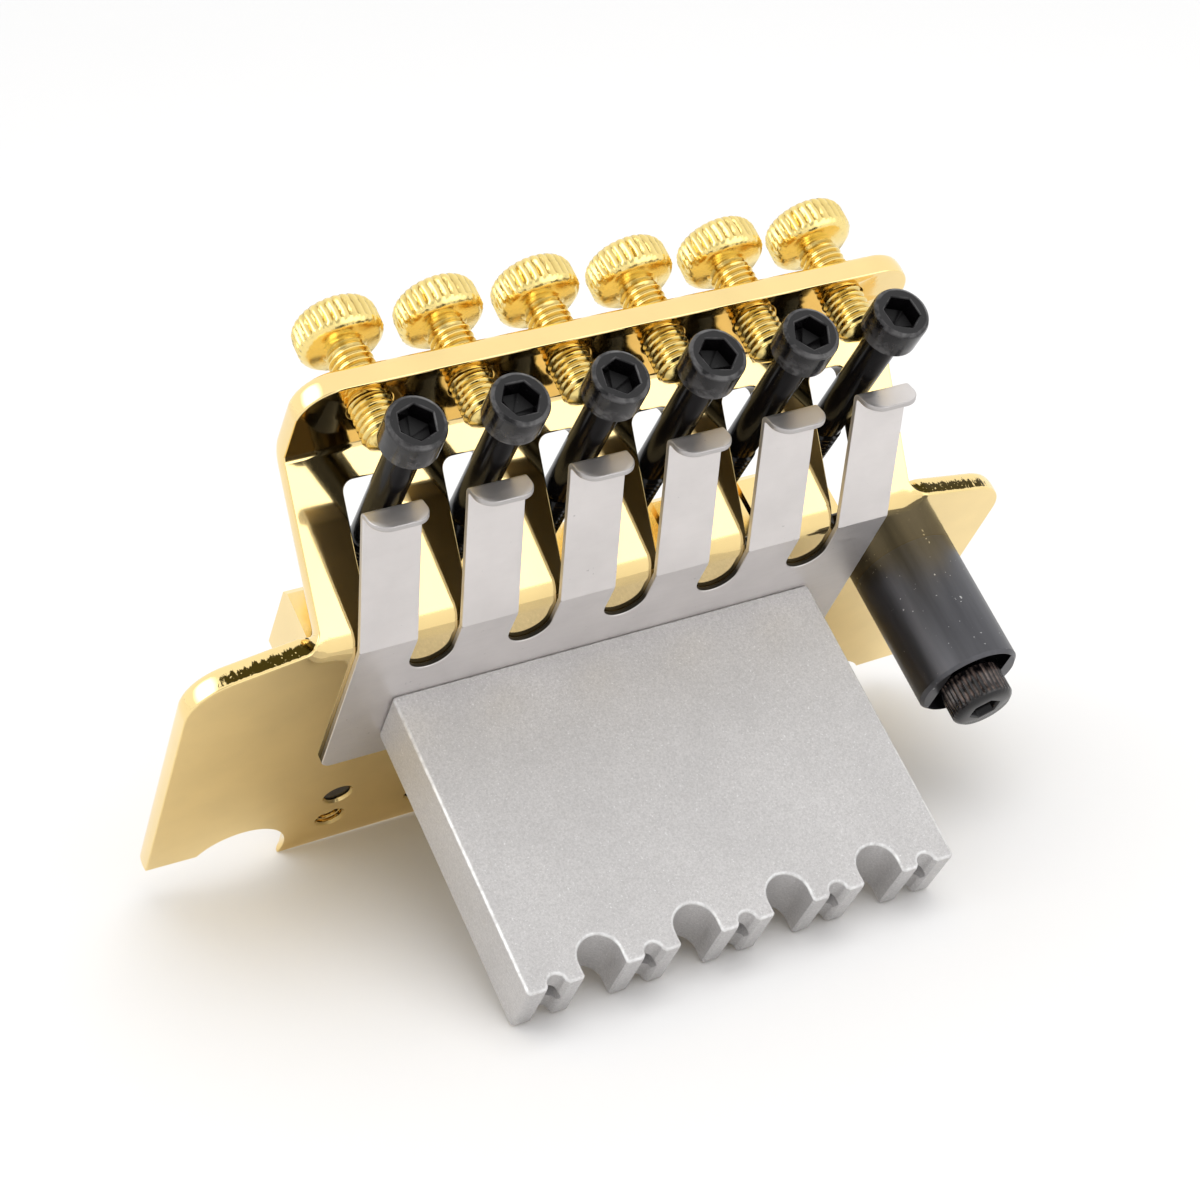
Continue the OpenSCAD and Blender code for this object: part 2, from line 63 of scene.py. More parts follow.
# Plate, in millimetres, in the frame of the solids
HALF_W = 47.6
HALF_TAIL = 34.2
HALF_STUD = 37.0
KNIFE_R = 5.6
WING_FRONT = 2.8
WING_REAR = -36.4
# Points halfway along the straight outer and front edges
WING_MIDDLE = -14
FRONT_MIDDLE = 16
WING_SLOPE = radians(13)
WING_CORNER = 5.5
FRONT_REACH = 7.7
BEND_Y = -35.3
BEND_R = 1.5
CREASE_R = 1.0
PILLAR = radians(54)
LEAN = radians(2.5)
TUNER_Y = -53.2
TUNER_Z = 15.3
SHELF_REACH = 4.0
SHELF_CORNER = 4.5
SLOT_END = -32.6
SLOT_W = 4.6
SLOT_CORNER = 1.2
SLOT_BELOW_CREASE = 3.3
# Heights on a sheared wall, and how torn it is there
SHEAR_BAND = ((0.2, 0.34, 1.05, 1.5, 1.9), (0.0, 1.0, 1.0, 0.45, 0.0))
# Heights of the rows on a sheared wall between its roundings
WALL_HEIGHTS = (0.34, 0.7, 1.05, 1.5)
# The torn band fades out over this length, short of the wing's corner
TORN_FADE = 3.0
TORN_PAST_ARC = 3.5
# The knife edges: a square land below, cut back above it
KNIFE_LAND = 0.5
KNIFE_CUT = 1.5
# Tapped hole: its countersink, and the pitch and depth of its grooves
TAP_LEAD = 0.28
TAP_PITCH = 0.5
TAP_DEPTH = 0.24
# Height up to which a wall's lower rim still catches the light
LIT_RIM = 0.1
# Bulge of the plate's walls
WALL_CROWN = 0.05
FILLET_R = 1.4
DRAWN = 2.6
# Near-black olive of the torn band: a painted dark reflection on a real torn edge
PAINTED_SHEAR_REFLECTION = (0.055, 0.038, 0.006)

# Holes through the plate and the comb
SADDLE_HOLE_ROWS = (-2.7, 2.5)
SADDLE_HOLE_R = 1.5
BLOCK_SCREW_PITCH = 16
BLOCK_SCREW_Y = -20.0
COUNTERSINK_R = 2.7
COUNTERSINK_LAND = 0.4
COUNTERSINK_INSET = 2.2
COMB_HOLE_R = 2.8
TUNER_HOLE_R = 2.25
ARM_AT = (39.2, -20.4)
ARM_HOLE_R = 4.18

# Fine tuners, measured up the screw from its place in the shelf
TUNER_HEAD_FROM = 6.6
TUNER_HEAD_H = 3.9
TUNER_NECK = 0.5
TUNER_CREST_R = 2.2
TUNER_THREAD_DEPTH = 0.30
TUNER_NOSE = 0.9
# Degrees from one tuner's start to the next, so that the knurls don't line up
TUNER_TURN = 23
ROD_COLUMNS = 40

# Lock screws, measured along the screw from its face
LOCK_Y = -60.9
LOCK_Z = 7.7
LOCK_SLOPE = radians(4.75)
LOCK_HEAD = 3.75
LOCK_THREAD_FROM = 21.5
LOCK_END = 36.84
LOCK_SHANK_R = 1.8
LOCK_CREST_R = 1.95
LOCK_ROOT_R = 1.62
LOCK_PITCH = 0.7
LOCK_SOCKET = 3.3
LOCK_SOCKET_DEPTH = 2.1
LOCK_BEVEL = 0.42
LOCK_CHAMFER = 0.3
# Degrees that each lock screw was last turned to
LOCK_TURNS = (12, 31, 7, 44, 20, 52)
# Width of the rubbed border on a screw's face
FACE_RUB = 0.1

# Leaf spring
LEAF_T = 0.6
FINGER_PITCH = 11.0
FINGER_W = 6.2
FINGER_ROOT = (-34.8, -0.3)
FINGER_OFFSET = 0.1
FINGER_TIP_R = 0.75
CREST_Y = -49.2
CREST_GAP = 0.25
LIP_ANGLE = radians(70)
LIP_L = 2.7
LIP_CORNER = 1.9
COMB_FRONT = -11.8
COMB_NOTCH = -28.5
COMB_CORNER = 1.3
# How dark the painted shade on a finger's upper side is
PAINTED_BACK_SHADE = 0.8

# Sustain block
BLOCK_W = 49.6
BLOCK_T = 7.6
BLOCK_TOP = -0.6
BLOCK_FOOT = -35.0
BLOCK_TAIL = -23.8
BLOCK_CORNER = 0.5
NOTCH_R = 2.3
NOTCH_DEPTH = 3.9
NOTCH_PITCH = 10.8
NOTCH_FLARE = 0.25
HOOK_PITCH = 10.75
HOOK_R = 0.96
HOOK_FLARE = 0.35
SPRING_HOLE_R = 1.2
SPRING_HOLE_DEPTH = 8
DRILL_POINT = 0.6

# Tension screw
TENSION_R = 3.6
TENSION_HEAD_H = 4.0
TENSION_TEETH = 36
TENSION_SHANK_R = 2.0
TENSION_SOCKET = 3.0
TENSION_SOCKET_DEPTH = 2.2

# Depths of the finishes' surface relief, in metres
FINE_RELIEF = 0.00003
PLATING_RELIEF = 0.00004
CAST_RELIEF = 0.00006

# Colours of single marks in the finishes; some are painted shade and painted glints
# Painted shade on the walls of holes and slots
PAINTED_WALL_SHADE = (0.022, 0.013, 0.004)
# Painted shade in the roots of threads and knurls
PAINTED_ROOT_SHADE = (0.42, 0.27, 0.07)
BARE_STEEL = (0.30, 0.29, 0.29)
BROWNED_STEEL = (0.30, 0.22, 0.19)
NICKED_STEEL = (0.5, 0.5, 0.5)
# Painted glints of the blasted grain
PAINTED_ZINC_GLINT = (0.85, 0.85, 0.85)
RUBBED_ZINC = (0.92, 0.92, 0.92)
GROUND_DARK = (0.45, 0.45, 0.45)
GROUND_BRIGHT = (0.62, 0.62, 0.61)


def string_x(i):
    """Place across the plate of string i."""
    return (i - MIDDLE) * PITCH


def finger_x(i):
    """Place across the plate of leaf finger i."""
    return FINGER_OFFSET + (i - MIDDLE) * FINGER_PITCH


class BridgeSizes(bpy.types.PropertyGroup):
    plate_thickness: FloatProperty(name="Plate thickness", description="Thickness of the bent plate",
                                   default=0.0026, unit="LENGTH")
    plate_rollover: FloatProperty(name="Plate rollover", description="Rounding of the plate's upper edges",
                                  default=0.0010, unit="LENGTH")
    plate_burr: FloatProperty(name="Plate lower edge", description="Rounding of the plate's lower edges",
                              default=0.00018, unit="LENGTH")
    thread_pitch: FloatProperty(name="Thread pitch", description="Pitch of the fine tuners' thread",
                                default=0.0007, unit="LENGTH")
    tuner_head: FloatProperty(name="Tuner head", description="Diameter of a fine tuner's knurled head",
                              default=0.0087, unit="LENGTH")
    tuner_teeth: IntProperty(name="Knurl teeth", description="Teeth around a fine tuner's head",
                             default=30, min=12, max=60)
    lock_head: FloatProperty(name="Lock screw head", description="Diameter of a lock screw's head",
                             default=0.0060, unit="LENGTH")
    leaf_edge: FloatProperty(name="Leaf edge", description="Rounding of the leaf spring's edges",
                             default=0.00012, unit="LENGTH")
    block_edge: FloatProperty(name="Block edge", description="Rounding of the sustain block's edges",
                              default=0.00035, unit="LENGTH")


class BridgeColours(bpy.types.PropertyGroup):
    gold: FloatVectorProperty(name="Gold", description="Colour of the gold plating", subtype="COLOR",
                              size=3, min=0, max=1, default=(0.94, 0.72, 0.33))
    turned_gold: FloatVectorProperty(name="Turned gold", description="Colour of the fine tuners",
                                     subtype="COLOR", size=3, min=0, max=1, default=(0.90, 0.71, 0.27))
    black_oxide: FloatVectorProperty(name="Black oxide", description="Colour of the screws", subtype="COLOR",
                                     size=3, min=0, max=1, default=(0.004, 0.0035, 0.004))
    sleeve: FloatVectorProperty(name="Sleeve", description="Colour of the arm sleeve", subtype="COLOR",
                                size=3, min=0, max=1, default=(0.10, 0.10, 0.108))
    zinc: FloatVectorProperty(name="Zinc", description="Colour of the cast block", subtype="COLOR",
                              size=3, min=0, max=1, default=(0.62, 0.605, 0.60))
    leaf: FloatVectorProperty(name="Leaf spring", description="Colour of the leaf spring", subtype="COLOR",
                              size=3, min=0, max=1, default=(0.70, 0.668, 0.655))
    floor: FloatVectorProperty(name="Floor", description="Colour of the floor", subtype="COLOR",
                               size=3, min=0, max=1, default=(0.90, 0.894, 0.89))


def sizes():
    return bpy.context.scene.bridge_sizes


def colours():
    return bpy.context.scene.bridge_colours


class Shader:
    """A material's node tree, built a node at a time."""

    def __init__(self, name):
        self.material = bpy.data.materials.new(name)
        self.material.use_nodes = True
        self.tree = self.material.node_tree
        self.tree.nodes.clear()
        self.surface = self.add("ShaderNodeBsdfPrincipled")
        output = self.add("ShaderNodeOutputMaterial")
        self.link(self.surface.outputs[0], output.inputs["Surface"])
        self.place = self.add("ShaderNodeTexCoord").outputs["Object"]

    def add(self, kind, **settings):
        made = self.tree.nodes.new(kind)
        for key, value in settings.items():
            setattr(made, key, value)
        return made

    def link(self, source, target):
        if isinstance(source, bpy.types.NodeSocket):
            self.tree.links.new(source, target)
        else:
            target.default_value = source

    def set(self, **values):
        """Sets or links the surface's inputs; an underscore stands for a space in their names."""
        for key, value in values.items():
            self.link(value, self.surface.inputs[key.replace("_", " ")])

    def noise(self, scale, detail=4.0, rough=0.5, stretch=(1, 1, 1)):
        """Noise in the object's own space, stretched along its axes."""
        mapping = self.add("ShaderNodeMapping")
        mapping.inputs["Scale"].default_value = stretch
        self.link(self.place, mapping.inputs["Vector"])
        made = self.add("ShaderNodeTexNoise")
        self.link(mapping.outputs[0], made.inputs["Vector"])
        made.inputs["Scale"].default_value = scale
        made.inputs["Detail"].default_value = detail
        made.inputs["Roughness"].default_value = rough
        return made.outputs["Fac"]

    def span(self, value, low, high, out_low, out_high):
        """Maps one stretch of values to another and holds it at both ends."""
        made = self.add("ShaderNodeMapRange")
        self.link(value, made.inputs["Value"])
        for key, number in zip(("From Min", "From Max", "To Min", "To Max"), (low, high, out_low, out_high)):
            made.inputs[key].default_value = number
        return made.outputs[0]

    def spread(self, noise, low, high):
        """The middle part of a noise, drawn out from one value to another."""
        return self.span(noise, 0.3, 0.7, low, high)

    def times(self, one, other, operation="MULTIPLY"):
        """The product of two values, or another operation on them."""
        made = self.add("ShaderNodeMath", operation=operation)
        self.link(one, made.inputs[0])
        self.link(other, made.inputs[1])
        return made.outputs[0]

    def blend(self, share, first, second):
        made = self.add("ShaderNodeMix", data_type="RGBA")
        self.link(share, made.inputs[0])
        self.link(as_rgba(first), made.inputs[6])
        self.link(as_rgba(second), made.inputs[7])
        return made.outputs[2]

    def attribute(self, name):
        return self.add("ShaderNodeAttribute", attribute_name=name).outputs["Fac"]

    def bump(self, height, strength, distance):
        """Gives the surface a fine relief."""
        made = self.add("ShaderNodeBump")
        made.inputs["Strength"].default_value = strength
        made.inputs["Distance"].default_value = distance
        self.link(height, made.inputs["Height"])
        self.link(made.outputs[0], self.surface.inputs["Normal"])


def as_rgba(colour):
    """A plain colour with its alpha; a socket stays as it is."""
    if isinstance(colour, bpy.types.NodeSocket):
        return colour
    return (*colour, 1.0)


def tinted(colour, factor):
    """A colour made darker or lighter."""
    return tuple(min(1.0, c * factor) for c in colour)


def gold_plating(name, ripple=0.10, rough=0.07):
    """Mirror-bright plating with faint ripples, dark brown painted shade on the walls of holes and slots, and
    a torn band on sheared edges: a real rough break coloured with a painted dark reflection.
    """
    gold = Shader(name)
    base = colours().gold
    cloud = gold.noise(140, 3)
    wall = gold.attribute("painted_shade")
    torn = gold.attribute("torn_edge")
    # The torn band is a real rough break; its specks' near-black olive colour is a painted dark reflection
    streak = gold.spread(gold.noise(2600, 5, 0.75, (1, 1, 0.25)), -0.42, 0.42)
    speck = gold.span(gold.times(torn, streak, "ADD"), 0.44, 0.52, 0, 1)
    speck = gold.times(speck, gold.span(torn, 0.02, 0.2, 0, 1))
    speck = gold.times(speck, gold.span(gold.noise(3600, 2, 0.5), 0.66, 0.70, 1, 0))
    tone = gold.blend(gold.span(cloud, 0.35, 0.7, 0, 1), base, tinted(base, 0.93))
    # Painted shade: marked walls turn dark brown, less metallic and less specular
    shadow = gold.times(wall, gold.span(gold.noise(900, 3), 0.35, 0.6, 0.85, 1))
    tone = gold.blend(shadow, tone, PAINTED_WALL_SHADE)
    gold.set(Metallic=gold.span(wall, 0.5, 1, 1, 0.15), Base_Color=gold.blend(speck, tone, PAINTED_SHEAR_REFLECTION))
    gold.set(Specular_IOR_Level=gold.span(wall, 0.5, 1, 0.5, 0.22))
    haze = gold.spread(cloud, rough * 0.8, rough * 1.3)
    gold.set(Roughness=gold.times(haze, gold.times(speck, 0.15), "ADD"))
    wave = gold.times(gold.noise(420, 2), gold.times(speck, 1.5), "ADD")
    gold.bump(wave, ripple, PLATING_RELIEF)
    return gold.material


def machined_gold(name):
    """Plating over turned brass, with fine turning marks, grains of dirt, and painted shade that darkens the
    roots of threads and knurls.
    """
    gold = Shader(name)
    base = colours().turned_gold
    dirt = gold.span(gold.noise(1500, 4, 0.65), 0.58, 0.72, 0, 1)
    shade_level = gold.attribute("painted_shade")
    gold.set(Metallic=1.0, Roughness=gold.spread(gold.noise(900, 3), 0.12, 0.26))
    # Painted shade: the roots of threads and knurls turn a darker brass
    worn = gold.blend(gold.times(shade_level, 0.55), base, PAINTED_ROOT_SHADE)
    gold.set(Base_Color=gold.blend(gold.times(dirt, 0.35), worn, tinted(base, 0.5)))
    gold.bump(gold.noise(2600, 3, 0.6), 0.35, PLATING_RELIEF)
    return gold.material


def black_oxide(name, worn=0.25, bare=BARE_STEEL):
    """Black oxide over steel: a soft sheen, the steel showing at rubbed edges, and painted shade that takes
    most of the sheen out of sockets and shanks.
    """
    oxide = Shader(name)
    base = colours().black_oxide
    patch = oxide.noise(700, 4, 0.6)
    scuff = oxide.span(oxide.noise(2200, 3, 0.7), 0.68, 0.73, 0, 1)
    shade = oxide.attribute("painted_shade")
    rim = oxide.times(oxide.attribute("worn_edge"), oxide.span(oxide.noise(900, 3), 0.40, 0.62, 0, 1))
    share = oxide.times(oxide.times(scuff, worn * 0.3), oxide.times(rim, worn), "ADD")
    tone = oxide.blend(oxide.spread(patch, 0, 1), base, tinted(base, 1.4))
    oxide.set(Base_Color=oxide.blend(share, tone, bare))
    oxide.set(Roughness=oxide.spread(patch, 0.15, 0.18))
    # Painted shade: marked sockets and shanks lose most of their sheen
    oxide.set(Specular_IOR_Level=oxide.span(shade, 0, 1, 0.42, 0.06))
    oxide.bump(oxide.noise(700, 2, 0.5), 0.07, FINE_RELIEF)
    return oxide.material


def satin_sleeve(name):
    """Blackened steel tube: satin, with long soft streaks along it and small bright nicks."""
    sleeve = Shader(name)
    base = colours().sleeve
    streak = sleeve.noise(420, 4, 0.55, (1, 1, 0.12))
    nick = sleeve.span(sleeve.noise(1800, 2, 0.6), 0.70, 0.74, 0, 1)
    tone = sleeve.blend(sleeve.spread(streak, 0, 1), tinted(base, 0.8), tinted(base, 1.25))
    sleeve.set(Metallic=1.0, Base_Color=sleeve.blend(nick, tone, NICKED_STEEL))
    sleeve.set(Roughness=sleeve.spread(streak, 0.32, 0.46))
    sleeve.bump(sleeve.noise(2400, 3, 0.6), 0.12, FINE_RELIEF)
    return sleeve.material


def blasted_zinc(name):
    """Bead-blasted casting: fine grain with painted glints, soft stains, rubbed bright edges."""
    zinc = Shader(name)
    base = colours().zinc
    grain = zinc.noise(4300, 4, 0.8)
    stain = zinc.noise(110, 4, 0.6)
    # Painted glints: bright specks in the grain's colour
    glint_speck = zinc.span(zinc.noise(3900, 3, 0.7), 0.62, 0.70, 0, 1)
    rub = zinc.times(zinc.attribute("worn_edge"), zinc.span(zinc.noise(1400, 3), 0.35, 0.6, 0.15, 0.6))
    tone = zinc.blend(zinc.spread(stain, 0, 1), tinted(base, 0.93), tinted(base, 1.06))
    tone = zinc.blend(zinc.span(grain, 0.35, 0.65, 0, 0.6), tone, tinted(base, 0.66))
    tone = zinc.blend(zinc.times(glint_speck, 0.7), tone, PAINTED_ZINC_GLINT)
    zinc.set(Metallic=0.6, Base_Color=zinc.blend(rub, tone, RUBBED_ZINC))
    zinc.set(Roughness=zinc.spread(grain, 0.42, 0.60))
    zinc.bump(grain, 0.45, CAST_RELIEF)
    return zinc.material


def spring_leaf(name):
    """Tumbled spring sheet: satin grey with faint marks along the grain and darker stains, and near-black
    painted shade on its walls and the fingers' upper side.
    """
    leaf = Shader(name)
    base = colours().leaf
    grain = leaf.noise(1600, 3, 0.6, (0.25, 1, 1))
    stain = leaf.noise(190, 4, 0.55)
    mark = leaf.span(leaf.noise(1100, 3, 0.7), 0.70, 0.76, 0, 1)
    tone = leaf.blend(leaf.spread(stain, 0, 1), tinted(base, 0.95), tinted(base, 1.04))
    leaf_shade = leaf.attribute("painted_shade")
    tone = leaf.blend(leaf.times(mark, 0.6), tone, tinted(base, 0.5))
    # Painted shade: marked walls and upper faces go near black and lose their sheen
    leaf.set(Metallic=leaf.span(leaf_shade, 0, 1, 0.85, 0.2), Base_Color=leaf.blend(leaf_shade, tone, tinted(base, 0.03)))
    leaf.set(Specular_IOR_Level=leaf.span(leaf_shade, 0, 1, 0.5, 0.15))
    leaf.set(Roughness=leaf.spread(grain, 0.34, 0.46))
    leaf.bump(leaf.noise(1900, 3, 0.6), 0.10, FINE_RELIEF)
    return leaf.material


def ground_steel(name):
    """Plain ground steel of the pins and clamp blocks."""
    steel = Shader(name)
    grind = steel.noise(1500, 3, 0.6, (1, 0.1, 1))
    steel.set(Metallic=1.0, Base_Color=steel.blend(grind, GROUND_DARK, GROUND_BRIGHT))
    steel.set(Roughness=steel.spread(grind, 0.22, 0.38))
    steel.bump(grind, 0.15, FINE_RELIEF)
    return steel.material


def finish_of(name, maker, **settings):
    """The material of that name, made the first time it is asked for."""
    return bpy.data.materials.get(name) or maker(name, **settings)


def dress(node, material):
    """Gives a kept CAD node its finish."""
    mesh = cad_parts[node].data
    mesh.materials.clear()
    mesh.materials.append(material)


def arc(cx, cy, r, start, end, steps):
    """Points on an arc, from one angle in degrees to another."""
    turns = np.radians(np.linspace(start, end, steps + 1))
    return [(cx + r * cos(a), cy + r * sin(a)) for a in turns]


def hole_loop(cx, cy, r, steps):
    """A round hole's outline, with the sheet on its left."""
    return arc(cx, cy, r, 0, 360, steps)[::-1]


def tidy_loop(points, least=1e-4):
    """The points of a closed loop without repeats."""
    kept = []
    for p in points:
        if not kept or hypot(p[0] - kept[-1][0], p[1] - kept[-1][1]) > least:
            kept.append(p)
    if hypot(kept[0][0] - kept[-1][0], kept[0][1] - kept[-1][1]) <= least:
        kept.pop()
    return np.array(kept, float)


def inward(points):
    """Mitred normals of a closed loop that has its material on the left."""
    ahead = np.roll(points, -1, 0) - points
    ahead /= np.linalg.norm(ahead, axis=1)[:, None]
    left = np.stack([-ahead[:, 1], ahead[:, 0]], 1)
    before = np.roll(left, 1, 0)
    both = left + before
    return both / np.maximum((both * left).sum(1), 0.35)[:, None]


def rounded_wall(thickness, low, top, steps=5, between=(), crown=0.0):
    """Side view of a sheet's edge: (inset, height) from the lower face to the upper one."""
    turns = np.linspace(0, pi / 2, steps + 1)
    rise = [(crown + low * (1 - sin(a)), low * (1 - cos(a))) for a in turns]
    roll = [(crown + top * (1 - cos(a)), thickness - top * (1 - sin(a))) for a in turns]
    middle = (low + thickness - top) / 2
    reach = (thickness - top - low) / 2
    return rise + [(crown * ((height - middle) / reach) ** 2, height) for height in between] + roll


def skin_rows(bm, rows):
    """Faces between closed rows of equally many points."""
    for low, high in zip(rows, rows[1:]):
        for j in range(len(low)):
            n = (j + 1) % len(low)
            bm.faces.new((low[j], low[n], high[n], high[j]))


def sheet(loops, thickness):
    """A flat sheet in millimetres from (points, wall, deep) loops, material on each loop's left.

    A loop's third entry is how much painted shade darkens its wall, kept in a vertex attribute; worn_edge
    marks the walls' rounded rows, and torn_edge the sheared band on the points that a loop's fourth entry
    marks."""
    bm = bmesh.new()
    painted_shade = bm.verts.layers.float.new("painted_shade")
    worn = bm.verts.layers.float.new("worn_edge")
    torn = bm.verts.layers.float.new("torn_edge")
    caps = {0: [], 1: []}
    for points, wall, shade_level, *marked in loops:
        points = tidy_loop(points)
        shear = marked[0] if marked else np.zeros(len(points))
        normals = inward(points)
        rows = []
        for k, (inset, height) in enumerate(wall):
            flat = points + normals * (np.asarray(inset).reshape(-1, 1) if np.ndim(inset) else inset)
            row = [bm.verts.new((x, y, height)) for x, y in flat]
            inner_row = 0 < k < len(wall) - 1
            dark = np.broadcast_to(shade_level, len(row))
            for v, cut, mark, shade in zip(row, np.broadcast_to(inset, len(row)), shear, dark):
                # The wall's inner rows take the loop's painted shade, all but the lit lower rim
                v[painted_shade] = shade if inner_row and height > LIT_RIM else 0.0
                v[worn] = 1.0 if inner_row and cut > 0.01 else 0.0
                v[torn] = mark * np.interp(height, *SHEAR_BAND)
            rows.append(row)
        count = len(points)
        skin_rows(bm, rows)
        for side, row in ((0, rows[0]), (1, rows[-1])):
            caps[side] += [bm.edges.get((row[j], row[(j + 1) % count])) for j in range(count)]
    for side, edges in caps.items():
        bmesh.ops.triangle_fill(bm, use_beauty=True, edges=edges, normal=(0, 0, 1 if side else -1))
    bmesh.ops.recalc_face_normals(bm, faces=bm.faces)
    return bm


def cut_across(bm, places, axis=1):
    """Adds edges where a sheet will bend."""
    direction = [0, 0, 0]
    direction[axis] = 1
    for at in places:
        point = [0, 0, 0]
        point[axis] = at
        bmesh.ops.bisect_plane(bm, geom=list(bm.verts) + list(bm.edges) + list(bm.faces),
                               dist=1e-6, plane_co=point, plane_no=direction)


class Path:
    """Side view of a sheet's lower face: straights and bends, walked by length."""

    def __init__(self, y, z, heading):
        self.parts = []
        self.at = (y, z, heading)
        self.length = 0.0
        self.cuts = []

    def straight(self, length):
        """A straight stretch of that length."""
        y, z, a = self.at
        self.parts.append((self.length, length, self.at, 0.0))
        self.length += length
        self.at = (y - length * cos(a), z + length * sin(a), a)
        self.cuts.append(self.length)

    def bend(self, r, angle, steps=10):
        """A bend of that radius on the lower face; a positive angle turns upwards."""
        y, z, a = self.at
        turn = angle / abs(r * angle)
        length = abs(r * angle)
        self.parts.append((self.length, length, self.at, turn))
        self.cuts += [self.length + length * k / steps for k in range(1, steps + 1)]
        self.length += length
        self.at = self.walk(self.length)[:3]

    def walk(self, s):
        """Place and heading after that length."""
        part = self.parts[0]
        for candidate in self.parts:
            if s >= candidate[0] - 1e-9:
                part = candidate
        start, _, (y, z, a), turn = part
        run = s - start
        if turn == 0.0:
            return y - run * cos(a), z + run * sin(a), a
        b = a + turn * run
        return y - (sin(b) - sin(a)) / turn, z - (cos(b) - cos(a)) / turn, b

    def point(self, s, n):
        """The place at that length and that height over the lower face."""
        y, z, a = self.walk(s)
        return y + n * sin(a), z + n * cos(a)


def finish_mesh(bm, name, material, body, replaces, sharp=30.0, matrix=None):
    """Turns a bmesh in millimetres into a piece of the object."""
    bmesh.ops.remove_doubles(bm, verts=bm.verts, dist=2e-4)
    bmesh.ops.dissolve_degenerate(bm, dist=1e-5, edges=bm.edges)
    bmesh.ops.recalc_face_normals(bm, faces=bm.faces)
    mesh = bpy.data.meshes.new(name)
    bm.to_mesh(mesh)
    bm.free()
    if matrix is not None:
        mesh.transform(matrix)
    mesh.transform(Matrix.Scale(MM, 4))
    mesh.shade_smooth()
    mesh.set_sharp_from_angle(angle=radians(sharp))
    mesh.materials.append(material)
    piece = bpy.data.objects.new(name, mesh)
    bpy.context.scene.collection.objects.link(piece)
    weighted = piece.modifiers.new("Even shading", "WEIGHTED_NORMAL")
    weighted.keep_sharp = True
    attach(piece, body)
    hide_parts(*replaces)
    return piece


def plate_path():
    """The plate's side view from the knife line to the end of the shelf."""
    t = sizes().plate_thickness / MM
    outer = BEND_R + t
    run = outer * tan(PILLAR / 2)
    fold = PILLAR + LEAN
    fold_run = CREASE_R * tan(fold / 2)
    crease_s = (TUNER_Z + (BEND_Y - TUNER_Y) * tan(LEAN)) / (sin(PILLAR) + cos(PILLAR) * tan(LEAN))
    crease_y = BEND_Y - crease_s * cos(PILLAR)
    shelf = (crease_y - TUNER_Y) / cos(LEAN)
    path = Path(0, 0, 0)
    path.straight(-(BEND_Y + run))
    path.bend(outer, PILLAR)
    path.straight(crease_s - run - fold_run)
    pillar_top = path.length
    path.bend(CREASE_R, -fold)
    path.straight(shelf - fold_run)
    path.tuner = path.length
    path.straight(SHELF_REACH)
    path.slot_top = pillar_top + fold_run - SLOT_BELOW_CREASE
    return path


